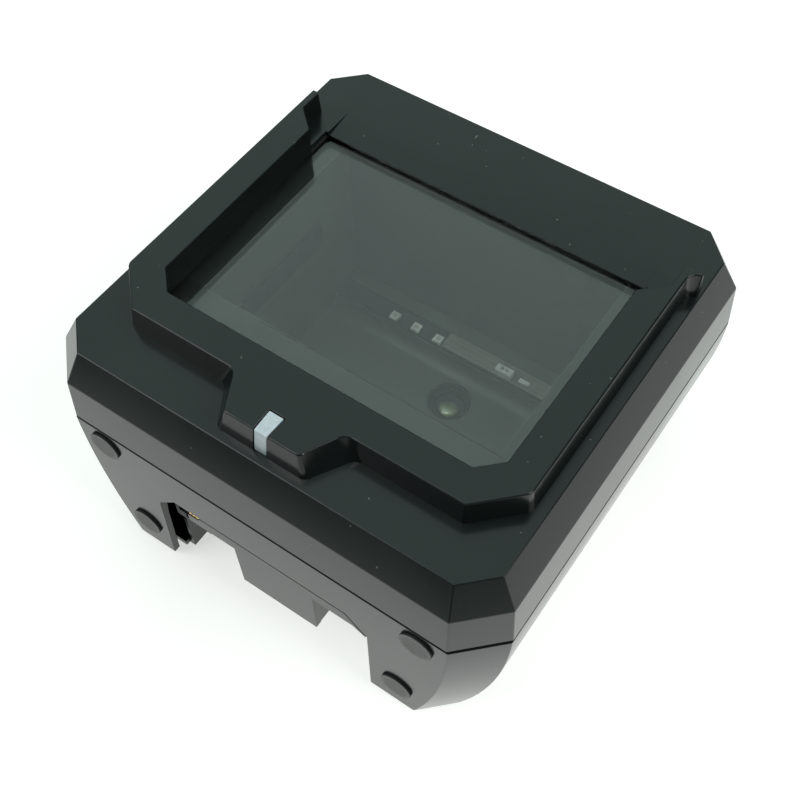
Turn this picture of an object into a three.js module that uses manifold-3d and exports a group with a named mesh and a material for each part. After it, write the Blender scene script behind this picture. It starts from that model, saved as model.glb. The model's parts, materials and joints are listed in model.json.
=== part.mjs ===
// Full page passport reader, in millimetres.
// X runs to the reader's right, Y from front to back, Z up from the table.
// Pieces are drawn with Y = 0 at the front rim; the assembly is then centred over its footprint.
import * as THREE from 'three';
import { mergeVertices } from 'three/addons/utils/BufferGeometryUtils.js';
import Module from 'manifold-3d';

const wasm = await Module();
wasm.setup();

// Driving dimensions: the open document sets the window, and the window sets the housing
const PAGE_WIDTH = 125;
const PAGE_HEIGHT = 88;
const PAGE_CLEARANCE = 1;
const SIDE_LEDGE = 10.9;
const CORNER = 13.3;
const FOOT_DROP = 1.5;
const LOWER_HEIGHT = 67;
const BAND_HEIGHT = 17.9;
const BAND_FLARE = 1.2;
const BEVEL_RISE = 11.3;
const BEVEL_INSET = 5.9;
const SIDE_RADIUS = 165;
const LOWER_CORNER = 11.7;
const WALL = 2.6;
const DECK_THICKNESS = 2;
const FIT = 0.3;
const TOUCH = 0.02;
const SEAM_REVEAL = 0.7;
const SEAM_GROOVE = 0.9;

const FRAME_RISE = 9;
const FRAME_DRAFT = 1.2;
const FRAME_EDGE = 0.9;
const ARM_WIDTH = 11.1;
const FRAME_FRONT = 24.2;
const FRAME_CORNER = 13.8;
const WINDOW_FRONT = 35.6;
const WINDOW_CORNER = 7.1;
const FLARE_LENGTH = 7.6;
const TIP_WALL = 2.7;
const TIP_LENGTH = 9.4;
const HOOK_RADIUS = 4;
const TAB_TIP = 10.8;
const TAB_TOP_WIDTH = 27.4;
const TAB_ROOT_WIDTH = 41;

const GLASS_THICKNESS = 3;
const GLASS_MARGIN = 4;
const GASKET = 0.6;

const ARCH_HEIGHT = 46.6;
const ARCH_CHAMFER = 8;
const ARCH_LEAN = 1.8;
const TONGUE_LEFT = -9.5;
const TONGUE_RIGHT = 21.7;
const TONGUE_BOTTOM = 20;
const LIP_DROP = 5.7;
const BAY_DEPTH = 36;

const FOOT_RADIUS = 5.9;
const FRONT_FOOT_THICKNESS = 1;

const HOOD_FLOOR = 18.4;
const HOOD_WALL = 1.8;
const LENS_X = 7.9;
const BOARD = 1.6;

// Levels and half sizes worked out from the driving dimensions
const BASE_Z = FOOT_DROP;
const SEAM_Z = BASE_Z + LOWER_HEIGHT;
const RIM_Z = SEAM_Z + BAND_HEIGHT;
const DECK_Z = RIM_Z + BEVEL_RISE;
const FRAME_Z = DECK_Z + FRAME_RISE;
const GLASS_Z = DECK_Z - DECK_THICKNESS - GASKET;
const GLASS_UNDER_Z = GLASS_Z - GLASS_THICKNESS;
const WINDOW_HALF = PAGE_WIDTH / 2 + PAGE_CLEARANCE;
const WINDOW_BACK = WINDOW_FRONT + PAGE_HEIGHT + 4.4;
const FRAME_HALF = WINDOW_HALF + ARM_WIDTH;
const RIM_HALF = FRAME_HALF + SIDE_LEDGE;
const DEPTH = WINDOW_BACK + 39;
const ARM_TIP = WINDOW_BACK + 7;
const FLARE_END = ARM_TIP - TIP_LENGTH;
const FLARE_START = FLARE_END - FLARE_LENGTH;
const ARCH_HALF = RIM_HALF - 42.4;
const LENS_Y = WINDOW_BACK - 27.2;
const SEAM_HALF = RIM_HALF + BAND_FLARE;
const SEAM_CORNER = CORNER + BAND_FLARE * 0.6;
const SEAM_FRONT = -BAND_FLARE;
const SEAM_BACK = DEPTH + BAND_FLARE;
const COVER_TOP = BASE_Z + WALL;
const LIP_BOTTOM = BASE_Z + ARCH_HEIGHT - LIP_DROP;
const BAY_ROOF = LIP_BOTTOM + 1.1;

// Solids and booleans
function solidOf(geometry) {
  const plain = geometry.clone();
  plain.deleteAttribute('normal');
  plain.deleteAttribute('uv');
  const merged = mergeVertices(plain, 1e-4);
  return new wasm.Manifold(new wasm.Mesh({
    numProp: 3,
    vertProperties: new Float32Array(merged.attributes.position.array),
    triVerts: new Uint32Array(merged.index.array),
  }));
}

function geometryOf(solid) {
  const mesh = solid.getMesh();
  const geometry = new THREE.BufferGeometry();
  geometry.setAttribute('position', new THREE.BufferAttribute(new Float32Array(mesh.vertProperties), 3));
  geometry.setIndex(Array.from(mesh.triVerts));
  return geometry;
}

const join = (...solids) => solids.reduce((sum, solid) => sum.add(solid));
const cut = (body, ...tools) => tools.reduce((rest, tool) => rest.subtract(tool), body);

// A closed solid through matching outlines, from the lowest level to the highest
function loft(sections) {
  const count = sections[0].outline.length;
  const positions = [];
  for (const { outline, z } of sections) {
    outline.forEach(([x, y]) => positions.push(x, y, z));
  }
  const indices = [];
  for (let level = 0; level + 1 < sections.length; level += 1) {
    for (let i = 0; i < count; i += 1) {
      const a = level * count + i;
      const b = level * count + ((i + 1) % count);
      indices.push(a, b, b + count, a, b + count, a + count);
    }
  }
  const capOf = ({ outline }) => {
    const points = outline.map(([x, y]) => new THREE.Vector2(x, y));
    return THREE.ShapeUtils.triangulateShape(points, []);
  };
  for (const [a, b, c] of capOf(sections[0])) {
    indices.push(a, c, b);
  }
  const top = (sections.length - 1) * count;
  for (const [a, b, c] of capOf(sections[sections.length - 1])) {
    indices.push(top + a, top + b, top + c);
  }
  const geometry = new THREE.BufferGeometry();
  geometry.setAttribute('position', new THREE.Float32BufferAttribute(positions, 3));
  geometry.setIndex(indices);
  return solidOf(geometry);
}

const prism = (outline, z0, z1) => loft([{ outline, z: z0 }, { outline, z: z1 }]);

function block(x0, x1, y0, y1, z0, z1) {
  const geometry = new THREE.BoxGeometry(x1 - x0, y1 - y0, z1 - z0);
  geometry.translate((x0 + x1) / 2, (y0 + y1) / 2, (z0 + z1) / 2);
  return solidOf(geometry);
}

// A round solid about a vertical axis, from [radius, height] pairs that start and end on the axis
function turned(profile, x, y, segments = 32) {
  const points = profile.map(([radius, z]) => new THREE.Vector2(radius, z));
  const geometry = new THREE.LatheGeometry(points, segments);
  geometry.rotateX(Math.PI / 2);
  geometry.translate(x, y, 0);
  return solidOf(geometry);
}

const post = (x, y, radius, z0, z1, segments = 24) => turned(
  [[0, z0], [radius, z0], [radius, z1], [0, z1]], x, y, segments);

// A profile in the YZ plane, run along X
function runAlongX(profile, x0, x1) {
  const shape = new THREE.Shape(profile.map(([y, z]) => new THREE.Vector2(y, z)));
  const geometry = new THREE.ExtrudeGeometry(shape, { depth: x1 - x0, bevelEnabled: false });
  geometry.rotateX(Math.PI / 2);
  geometry.rotateZ(Math.PI / 2);
  geometry.translate(x0, 0, 0);
  return solidOf(geometry);
}

// A profile in the XZ plane, run along Y
function runAlongY(profile, y0, y1) {
  const shape = new THREE.Shape(profile.map(([x, z]) => new THREE.Vector2(x, z)));
  const geometry = new THREE.ExtrudeGeometry(shape, { depth: y1 - y0, bevelEnabled: false });
  geometry.rotateX(Math.PI / 2);
  geometry.translate(0, y1, 0);
  return solidOf(geometry);
}

// Outlines, anticlockwise seen from above
function octagon(half, front, back, corner) {
  return [
    [half - corner, front], [half, front + corner],
    [half, back - corner], [half - corner, back],
    [corner - half, back], [-half, back - corner],
    [-half, front + corner], [corner - half, front],
  ];
}

const mirrored = (points) => points.map(([x, y]) => [-x, y]).reverse();

function arc(cx, cy, radius, from, to, steps) {
  return Array.from({ length: steps + 1 }, (_, i) => {
    const angle = THREE.MathUtils.degToRad(from + ((to - from) * i) / steps);
    return [cx + radius * Math.cos(angle), cy + radius * Math.sin(angle)];
  });
}

// The lower housing draws in towards the table along a large radius, front and back staying upright
function lowerSection(z, inset = 0) {
  const drop = SEAM_Z - z;
  const taper = SIDE_RADIUS - Math.sqrt(SIDE_RADIUS ** 2 - drop ** 2);
  const corner = THREE.MathUtils.lerp(SEAM_CORNER, LOWER_CORNER, drop / LOWER_HEIGHT);
  const cornerInset = inset * (2 - Math.SQRT2);
  return octagon(SEAM_HALF - taper - inset, SEAM_FRONT + inset, SEAM_BACK - inset, corner - cornerInset);
}

function lowerSolid(z0, z1, inset, steps = 8) {
  const sections = Array.from({ length: steps + 1 }, (_, i) => {
    const z = z0 + ((z1 - z0) * i) / steps;
    return { outline: lowerSection(z, inset), z };
  });
  return loft(sections);
}

// The U shaped document frame: top outline grown by a given amount
function frameOutline(grow) {
  const half = FRAME_HALF + grow;
  const front = FRAME_FRONT - grow;
  const corner = FRAME_CORNER + grow * 0.2;
  const window = WINDOW_HALF;
  const lipInside = FRAME_HALF - TIP_WALL;
  const tip = ARM_TIP + grow;
  const round = TIP_WALL - FRAME_EDGE - 0.3;
  const right = [
    [TAB_TOP_WIDTH / 2 + grow * 2.2, TAB_TIP - grow * 1.6],
    [TAB_ROOT_WIDTH / 2 + grow * 3.6, front],
    [half - corner, front],
    [half, front + corner],
  ];
  const inside = [
    ...arc(lipInside + round, tip - round, round, 90, 180, 4),
    [lipInside, FLARE_END],
    [window, FLARE_START],
    [window, WINDOW_FRONT + WINDOW_CORNER],
    [window - WINDOW_CORNER, WINDOW_FRONT],
  ];
  const hook = [
    ...arc(half + HOOK_RADIUS, tip - HOOK_RADIUS - 0.6, HOOK_RADIUS, 180, 105, 4),
    [half + HOOK_RADIUS - 0.6, tip],
  ];
  return [...right, ...hook, ...inside, ...mirrored(inside), [-half, tip], ...mirrored(right)];
}

const windowOutline = (grow) => {
  const half = WINDOW_HALF + grow;
  const front = WINDOW_FRONT - grow;
  const corner = WINDOW_CORNER + grow * 0.6;
  return [
    [half - corner, front], [half, front + corner],
    [half, WINDOW_BACK + grow], [-half, WINDOW_BACK + grow],
    [-half, front + corner], [corner - half, front],
  ];
};

// Hollow under the frame, outside the glass
function channelOutline() {
  const half = FRAME_HALF - WALL;
  const front = FRAME_FRONT + WALL;
  const inner = WINDOW_HALF + GLASS_MARGIN;
  const innerFront = WINDOW_FRONT - GLASS_MARGIN;
  const end = FLARE_START - WALL;
  const right = [
    [half - FRAME_CORNER, front], [half, front + FRAME_CORNER], [half, end], [inner, end],
    [inner, innerFront + WINDOW_CORNER], [inner - WINDOW_CORNER, innerFront],
  ];
  const left = mirrored(right);
  return [...right, ...left];
}

// Upper housing: band, bevel, deck, document frame and status tab in one moulding
const SCREW_X = RIM_HALF - 21.5;
const SCREW_FRONT = 20;
const SCREW_BACK = DEPTH - 21;
const SCREW_SPOTS = [
  [-SCREW_X, SCREW_FRONT], [SCREW_X, SCREW_FRONT],
  [-SCREW_X, SCREW_BACK], [SCREW_X, SCREW_BACK],
];
const BOSS_RADIUS = 3.6;
const BOSS_RIB = 2;
const SCREW_HOLE = 1.3;
const PIPE_WIDTH = 4.7;
const PIPE_LENGTH = 8;
const PIPE_FRONT = 2;
const PIPE_FOOT_Z = DECK_Z + 1.2;
const PIPE_BOTTOM_Z = DECK_Z - 3;
const STATUS_BOARD_Z = DECK_Z - 7;
const STATUS_BOARD_FRONT = TAB_TIP - 1.3;
const STATUS_BOARD_BACK = TAB_TIP + 10.7;
const STATUS_BOARD_HALF = 11;
const STATUS_POST_X = 8;
const STATUS_POST_RADIUS = 2;

function upperHousing() {
  const bevelCorner = CORNER - BEVEL_INSET * (2 - Math.SQRT2);
  const shell = loft([
    { outline: octagon(SEAM_HALF, SEAM_FRONT, SEAM_BACK, SEAM_CORNER), z: SEAM_Z + FIT },
    { outline: octagon(RIM_HALF, 0, DEPTH, CORNER), z: RIM_Z },
    { outline: octagon(RIM_HALF - BEVEL_INSET, BEVEL_INSET, DEPTH - BEVEL_INSET, bevelCorner), z: DECK_Z },
  ]);
  const innerCorner = CORNER - WALL * (2 - Math.SQRT2);
  const cavity = loft([
    { outline: octagon(SEAM_HALF - WALL, SEAM_FRONT + WALL, SEAM_BACK - WALL, innerCorner), z: SEAM_Z - 1 },
    { outline: octagon(RIM_HALF - WALL, WALL, DEPTH - WALL, innerCorner), z: RIM_Z - WALL / 2 },
    {
      outline: octagon(RIM_HALF - BEVEL_INSET - WALL, BEVEL_INSET + WALL, DEPTH - BEVEL_INSET - WALL,
        bevelCorner - WALL * (2 - Math.SQRT2)),
      z: DECK_Z - DECK_THICKNESS,
    },
  ]);
  const frame = loft([
    { outline: frameOutline(FRAME_DRAFT), z: DECK_Z - 0.5 },
    { outline: frameOutline(0), z: FRAME_Z - FRAME_EDGE },
    { outline: frameOutline(-FRAME_EDGE), z: FRAME_Z },
  ]);
  const channel = prism(channelOutline(), DECK_Z - DECK_THICKNESS - 1, FRAME_Z - WALL);
  const window = prism(windowOutline(0), DECK_Z - DECK_THICKNESS - 1, DECK_Z + 1);
  const leadIn = runAlongX([
    [WINDOW_BACK - 1, DECK_Z - 1.3], [WINDOW_BACK + 12, DECK_Z], [WINDOW_BACK + 12, DECK_Z + 1],
    [WINDOW_BACK - 1, DECK_Z + 1],
  ], -WINDOW_HALF, WINDOW_HALF);
  const pipeHalf = PIPE_WIDTH / 2;
  const pipeSlot = join(
    block(-pipeHalf, pipeHalf, TAB_TIP - 4, TAB_TIP + PIPE_LENGTH, PIPE_FOOT_Z, FRAME_Z + 1),
    block(-pipeHalf, pipeHalf, TAB_TIP + PIPE_FRONT, TAB_TIP + PIPE_LENGTH, DECK_Z - 4, FRAME_Z),
  );
  const underDeck = DECK_Z - DECK_THICKNESS + 0.5;
  const bosses = SCREW_SPOTS.map(([x, y]) => post(x, y, BOSS_RADIUS, SEAM_Z + 1, underDeck));
  const bores = SCREW_SPOTS.map(([x, y]) => post(x, y, SCREW_HOLE, SEAM_Z, DECK_Z - 6));
  const postY = (STATUS_BOARD_FRONT + STATUS_BOARD_BACK) / 2;
  const boardPosts = [-STATUS_POST_X, STATUS_POST_X].map((x) => post(
    x, postY, STATUS_POST_RADIUS, STATUS_BOARD_Z + BOARD + TOUCH, underDeck, 16));
  const body = join(cut(shell, cavity), frame, ...bosses, ...boardPosts);
  return cut(body, channel, window, leadIn, pipeSlot, ...bores);
}

const lightPipe = () => {
  const half = PIPE_WIDTH / 2 - FIT;
  const back = TAB_TIP + PIPE_LENGTH - FIT;
  return runAlongX([
    [TAB_TIP - 1.3, PIPE_FOOT_Z + FIT], [TAB_TIP + PIPE_FRONT + FIT, PIPE_FOOT_Z + FIT],
    [TAB_TIP + PIPE_FRONT + FIT, PIPE_BOTTOM_Z], [back, PIPE_BOTTOM_Z], [back, FRAME_Z],
    [TAB_TIP + FRAME_EDGE, FRAME_Z], [TAB_TIP, FRAME_Z - FRAME_EDGE],
  ], -half, half);
};

// Lower housing: tapering skirt with an arch through the front wall, whose left side leans outward
function lowerHousing() {
  const shell = join(
    lowerSolid(BASE_Z, SEAM_Z - SEAM_REVEAL, 0),
    lowerSolid(SEAM_Z - SEAM_REVEAL - 1, SEAM_Z, SEAM_GROOVE, 1),
  );
  const skirt = cut(shell, lowerSolid(BASE_Z - 1, SEAM_Z + 1, WALL));
  const arch = runAlongY([
    [-ARCH_HALF - ARCH_LEAN, BASE_Z - 1], [ARCH_HALF, BASE_Z - 1],
    [ARCH_HALF, BASE_Z + ARCH_HEIGHT - ARCH_CHAMFER], [ARCH_HALF - ARCH_CHAMFER, BASE_Z + ARCH_HEIGHT],
    [ARCH_CHAMFER - ARCH_HALF, BASE_Z + ARCH_HEIGHT], [-ARCH_HALF, BASE_Z + ARCH_HEIGHT - ARCH_CHAMFER],
  ], SEAM_FRONT - 1, SEAM_FRONT + WALL + 1);
  const bosses = SCREW_SPOTS.map(([x, y]) => {
    const side = Math.sign(x);
    const wallX = lowerSection(COVER_TOP)[2][0] - WALL / 2;
    const [x0, x1] = [Math.min(x, side * wallX), Math.max(x, side * wallX)];
    return join(
      post(x, y, BOSS_RADIUS, COVER_TOP + FIT, SEAM_Z + 1 - FIT),
      block(x0, x1, y - BOSS_RIB / 2, y + BOSS_RIB / 2, COVER_TOP + FIT, SEAM_Z - 8),
    );
  });
  const bores = SCREW_SPOTS.map(([x, y]) => post(x, y, SCREW_HOLE + 0.4, COVER_TOP - 1, SEAM_Z + 2));
  return cut(cut(skirt, arch).add(join(...bosses)), ...bores);
}

// Bottom cover: floor plate with a cable bay pushed up into it behind the arch
const BAY_HALF = ARCH_HALF - 2.5;
const BAY_FRONT = SEAM_FRONT + WALL + FIT;
const BAY_WALL = 1.4;
const BAY_SIDE_FRONT = 5.1;
const PLATE_FRONT = 3.4;

function bottomCover() {
  const plate = lowerSolid(BASE_Z, COVER_TOP, WALL + FIT, 1);
  const roofTop = BAY_ROOF + WALL;
  const outer = BAY_HALF + BAY_WALL;
  const hump = block(-outer, outer, BAY_FRONT, BAY_DEPTH + WALL, BASE_Z, roofTop);
  const bay = block(-BAY_HALF, BAY_HALF, BAY_FRONT - 1, BAY_DEPTH, BASE_Z - 1, BAY_ROOF);
  const sideOpening = block(-outer - 1.2, outer + 1.2, BAY_FRONT - 1, BAY_SIDE_FRONT, BASE_Z - 1, BAY_ROOF);
  const plateEdge = block(-ARCH_HALF - 8, ARCH_HALF + 8, BAY_FRONT - 1, PLATE_FRONT, BASE_Z - 1, BAY_ROOF);
  const pinHole = block(SOCKET_X - 5, SOCKET_X + 5, SOCKET_Y + 6, SOCKET_Y + 13, BAY_ROOF - 1, roofTop + 1);
  const holes = SCREW_SPOTS.map(([x, y]) => join(
    post(x, y, SCREW_HOLE + 0.4, BASE_Z - 1, COVER_TOP + 1),
    post(x, y, SCREW_HEAD + FIT, BASE_Z - 1, SCREW_SEAT_Z),
  ));
  return cut(join(plate, hump), bay, sideOpening, plateEdge, pinHole, ...holes);
}

// Cable cover: flush lip under the arch with a hanging tongue; its left end bends inward
const LIP_END = TONGUE_LEFT - 22.4;
const LIP_BEND = 2.4;
const TONGUE_WALL = 2;
const NOTCH_START = LIP_END + LIP_BEND;
const NOTCH_WIDTH = 4.8;
const NOTCH_DEPTH = 1.5;
const NOTCH_FLOOR = BASE_Z + ARCH_HEIGHT - FIT - NOTCH_DEPTH;

function cableCover() {
  const archTop = BASE_Z + ARCH_HEIGHT - FIT;
  const archSide = ARCH_HALF - FIT;
  const slopeFoot = BASE_Z + ARCH_HEIGHT - ARCH_CHAMFER;
  const face = runAlongY([
    [LIP_END, archTop], [LIP_END + 0.8, LIP_BOTTOM],
    [TONGUE_LEFT - 0.8, LIP_BOTTOM], [TONGUE_LEFT, TONGUE_BOTTOM],
    [TONGUE_RIGHT, TONGUE_BOTTOM], [TONGUE_RIGHT, LIP_BOTTOM], [archSide - 5, LIP_BOTTOM],
    [archSide - 0.4, slopeFoot - 0.4], [archSide, slopeFoot - FIT * 0.4],
    [archSide - ARCH_CHAMFER + FIT * 0.4, archTop],
  ], SEAM_FRONT, SEAM_FRONT + WALL);
  const front = SEAM_FRONT + 1;
  const back = BAY_DEPTH - 8;
  const top = BAY_ROOF - FIT;
  const leftWall = block(TONGUE_LEFT, TONGUE_LEFT + TONGUE_WALL, front, back, TONGUE_BOTTOM, top);
  const rightWall = block(TONGUE_RIGHT - TONGUE_WALL, TONGUE_RIGHT, front, back, TONGUE_BOTTOM, top);
  const bridge = block(TONGUE_LEFT, TONGUE_RIGHT, front, back, top - TONGUE_WALL, top);
  const bend = prism([
    [LIP_END - 1, SEAM_FRONT - 1], [LIP_END + LIP_BEND + 1.4, SEAM_FRONT - 1], [LIP_END - 1, SEAM_FRONT + 2.4],
  ], LIP_BOTTOM - 1, archTop + 1);
  const notch = block(NOTCH_START, NOTCH_START + NOTCH_WIDTH, SEAM_FRONT - 1, back, NOTCH_FLOOR, archTop + 1);
  return cut(join(face, leftWall, rightWall, bridge), bend, notch);
}

// Gold plated earthing spring in the notch: a strip with three raised fingers
const FINGERS = 3;
const FINGER_PITCH = 1.5;

function groundSpring() {
  const x0 = NOTCH_START + 0.2;
  const x1 = NOTCH_START + NOTCH_WIDTH - 0.2;
  const strip = block(x0, x1, SEAM_FRONT + 0.3, SEAM_FRONT + 2.2, NOTCH_FLOOR + TOUCH, NOTCH_FLOOR + 0.5);
  const middle = (x0 + x1) / 2;
  const fingers = Array.from({ length: FINGERS }, (_, i) => {
    const x = middle + (i - (FINGERS - 1) / 2) * FINGER_PITCH;
    return runAlongX([
      [SEAM_FRONT + 0.3, NOTCH_FLOOR + 0.3], [SEAM_FRONT + 2, NOTCH_FLOOR + 0.3],
      [SEAM_FRONT + 1.5, NOTCH_FLOOR + 1], [SEAM_FRONT + 0.9, NOTCH_FLOOR + 1.2],
      [SEAM_FRONT + 0.4, NOTCH_FLOOR + 0.9],
    ], x - 0.5, x + 0.5);
  });
  return join(strip, ...fingers);
}

// Feet: four on the front face and four underneath
const UPPER_FOOT = [RIM_HALF - 23.3, RIM_Z - 26.4];
const LOWER_FOOT = [RIM_HALF - 31.1, RIM_Z - 70.6];
const FRONT_FEET = [
  [-UPPER_FOOT[0], UPPER_FOOT[1]], UPPER_FOOT,
  [-LOWER_FOOT[0], LOWER_FOOT[1]], LOWER_FOOT,
];
const BOTTOM_FOOT_X = lowerSection(BASE_Z)[1][0] - 17;
const BOTTOM_FOOT_INSET = 12;
const BOTTOM_FEET = [
  [-BOTTOM_FOOT_X, BOTTOM_FOOT_INSET], [BOTTOM_FOOT_X, BOTTOM_FOOT_INSET],
  [-BOTTOM_FOOT_X, DEPTH - BOTTOM_FOOT_INSET], [BOTTOM_FOOT_X, DEPTH - BOTTOM_FOOT_INSET],
];

function frontFoot(x, z) {
  const disc = new THREE.LatheGeometry([
    new THREE.Vector2(0, 0), new THREE.Vector2(FOOT_RADIUS, 0),
    new THREE.Vector2(FOOT_RADIUS, FRONT_FOOT_THICKNESS - 0.3),
    new THREE.Vector2(FOOT_RADIUS - 0.3, FRONT_FOOT_THICKNESS),
    new THREE.Vector2(0, FRONT_FOOT_THICKNESS),
  ], 40);
  disc.rotateX(Math.PI);
  disc.translate(x, SEAM_FRONT - TOUCH, z);
  return disc;
}

const bottomFoot = (x, y) => turned([
  [0, 0], [FOOT_RADIUS + 0.6, 0], [FOOT_RADIUS + 1.1, 0.5], [FOOT_RADIUS + 1.1, BASE_Z - TOUCH],
  [0, BASE_Z - TOUCH],
], x, y, 40);

// Glass, its gasket and the status window
const glassPlaten = () => prism(windowOutline(GLASS_MARGIN), GLASS_UNDER_Z, GLASS_Z - TOUCH);

function glassGasket() {
  return cut(
    prism(windowOutline(GLASS_MARGIN - 0.5), GLASS_Z, DECK_Z - DECK_THICKNESS - TOUCH),
    prism(windowOutline(0.4), GLASS_Z - 1, DECK_Z),
  );
}

const SENSOR_SPOTS = [17.5 - WINDOW_HALF, WINDOW_HALF - 17.5];
const SENSOR_Y = WINDOW_FRONT + 6.2;

// Optical hood: black box under the glass with a raised, coved back ledge and a lens opening
const HOOD_HALF = WINDOW_HALF - 6.5;
const HOOD_FRONT = WINDOW_FRONT + 11;
const HOOD_BACK = WINDOW_BACK + 3;
const LEDGE_Z = HOOD_FLOOR + 6;
const LEDGE_FRONT = HOOD_BACK - 15.9;
const LEG_X = HOOD_HALF - 7;
const LEG_FRONT = HOOD_FRONT + 5.4;
const LEG_BACK = HOOD_BACK - 21.5;
const LEG_RADIUS = 3.4;
const COVE_RADIUS = 5.6;
const LENS_OPENING = 8.5;

function opticalHood() {
  const top = GLASS_UNDER_Z - FIT;
  const outer = join(
    block(-HOOD_HALF - HOOD_WALL, HOOD_HALF + HOOD_WALL, HOOD_FRONT, HOOD_BACK + HOOD_WALL,
      HOOD_FLOOR - HOOD_WALL, top),
    prism(windowOutline(GLASS_MARGIN - 1), top - 2, top),
  );
  const cove = arc(LEDGE_FRONT - COVE_RADIUS, HOOD_FLOOR + COVE_RADIUS, COVE_RADIUS, 270, 355, 6);
  const inside = runAlongX([
    [HOOD_FRONT + HOOD_WALL, HOOD_FLOOR], ...cove, [LEDGE_FRONT, LEDGE_Z], [HOOD_BACK, LEDGE_Z],
    [HOOD_BACK, top + 1], [HOOD_FRONT + HOOD_WALL, top + 1],
  ], -HOOD_HALF, HOOD_HALF);
  const underLedge = block(-HOOD_HALF + HOOD_WALL, HOOD_HALF - HOOD_WALL, LEDGE_FRONT + 1, HOOD_BACK + 5,
    HOOD_FLOOR - HOOD_WALL - 1, LEDGE_Z - HOOD_WALL);
  const lensOpening = post(LENS_X, LENS_Y, LENS_OPENING, HOOD_FLOOR - HOOD_WALL - 1, HOOD_FLOOR + 1, 40);
  const body = cut(outer, inside, underLedge, lensOpening);
  const legSpots = [[-LEG_X, LEG_FRONT], [LEG_X, LEG_FRONT], [-LEG_X, LEG_BACK], [LEG_X, LEG_BACK]];
  const legs = legSpots.map(([x, y]) => post(
    x, y, LEG_RADIUS, COVER_TOP + TOUCH, HOOD_FLOOR - HOOD_WALL + 0.2));
  const [x, z0, z1] = [RF_HALF - 4, RF_BOTTOM + 4, RF_TOP - 4];
  const standoffs = [[-x, z0], [x, z0], [-x, z1], [x, z1]].map(([px, pz]) => block(
    px - 2, px + 2, HOOD_BACK + 0.5, RF_Y - TOUCH, pz - 2, pz + 2));
  const sensorHoles = SENSOR_SPOTS.map((sx) => block(
    sx - 1.5, sx + 1.5, SENSOR_Y - 1.2, SENSOR_Y + 1.2, top - 3, top + 1));
  return cut(join(body, ...legs, ...standoffs), ...sensorHoles);
}

// Camera under the lens opening
const CAMERA_BOARD_Z = COVER_TOP + 1.2;
const CAMERA_TOP_Z = HOOD_FLOOR - 3.6;

const CAMERA_BOARD_HALF = 17;
const CAMERA_BOARD_HALF_DEPTH = 13;

function cameraBoard() {
  const plate = block(LENS_X - CAMERA_BOARD_HALF, LENS_X + CAMERA_BOARD_HALF,
    LENS_Y - CAMERA_BOARD_HALF_DEPTH, LENS_Y + CAMERA_BOARD_HALF_DEPTH,
    CAMERA_BOARD_Z, CAMERA_BOARD_Z + BOARD);
  const [x, y] = [CAMERA_BOARD_HALF - 3, CAMERA_BOARD_HALF_DEPTH - 3];
  const spacers = [[-x, -y], [x, -y], [-x, y], [x, y]].map(([dx, dy]) => post(
    LENS_X + dx, LENS_Y + dy, 1.8, COVER_TOP + TOUCH, CAMERA_BOARD_Z + 0.2, 16));
  return join(plate, ...spacers);
}

const imageSensor = () => block(LENS_X - 4, LENS_X + 4, LENS_Y - 3, LENS_Y + 3,
  CAMERA_BOARD_Z + BOARD + TOUCH, CAMERA_BOARD_Z + BOARD + 1);

function lensHolder() {
  const z0 = CAMERA_BOARD_Z + BOARD + TOUCH;
  const z1 = CAMERA_TOP_Z - 2.4;
  return cut(
    join(
      block(LENS_X - 8, LENS_X + 8, LENS_Y - 8, LENS_Y + 8, z0, z0 + 2.4),
      post(LENS_X, LENS_Y, 7.4, z0, z1, 32),
    ),
    block(LENS_X - 5, LENS_X + 5, LENS_Y - 4, LENS_Y + 4, z0 - 1, z0 + 1.4),
    post(LENS_X, LENS_Y, 5.6, z0 + 1.2, z1 + 1, 32),
  );
}

const lensBarrel = () => turned([
  [3.4, CAMERA_TOP_Z - 5.2], [5.3, CAMERA_TOP_Z - 5.2], [5.3, CAMERA_TOP_Z - 2], [6.6, CAMERA_TOP_Z - 2],
  [6.6, CAMERA_TOP_Z - 0.4], [6.2, CAMERA_TOP_Z], [5, CAMERA_TOP_Z], [4.2, CAMERA_TOP_Z - 1.8],
  [3.4, CAMERA_TOP_Z - 1.8], [3.4, CAMERA_TOP_Z - 5.2],
], LENS_X, LENS_Y, 36);

const frontLens = () => turned([
  [0, CAMERA_TOP_Z - 1.76], [3.9, CAMERA_TOP_Z - 1.76], [3.9, CAMERA_TOP_Z - 1.4], [3, CAMERA_TOP_Z - 0.9],
  [1.6, CAMERA_TOP_Z - 0.55], [0, CAMERA_TOP_Z - 0.45],
], LENS_X, LENS_Y, 36);

// Illumination: a lit strip on the coved ledge and a matching one under the front shelf
const LED_SPOTS = [-28.6, -18.5, -8.4];
const LED_SIZE = 3.6;
const STRIP_Y = HOOD_BACK - 11.4;
const STRIP_HALF_DEPTH = 4;
const PLUG_SOCKET_X = 21;
const PLUG_SOCKET_HALF = 3.5;
const PIN_PITCH = 2;
const RESISTOR_X = 29.5;
const UV_HALF_LENGTH = 25;
const UV_Y = WINDOW_BACK - 43;
const UV_BOTTOM = 60;
const UV_HEIGHT = 10;

const rearLedBoard = () => block(-HOOD_HALF + 1, HOOD_HALF - 1, STRIP_Y - STRIP_HALF_DEPTH,
  STRIP_Y + STRIP_HALF_DEPTH, LEDGE_Z + TOUCH, LEDGE_Z + BOARD);

const led = (x) => block(x - LED_SIZE / 2, x + LED_SIZE / 2, STRIP_Y - STRIP_HALF_DEPTH + 0.3,
  STRIP_Y - STRIP_HALF_DEPTH + 0.3 + LED_SIZE, LEDGE_Z + BOARD + TOUCH, LEDGE_Z + BOARD + 1.2);

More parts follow.
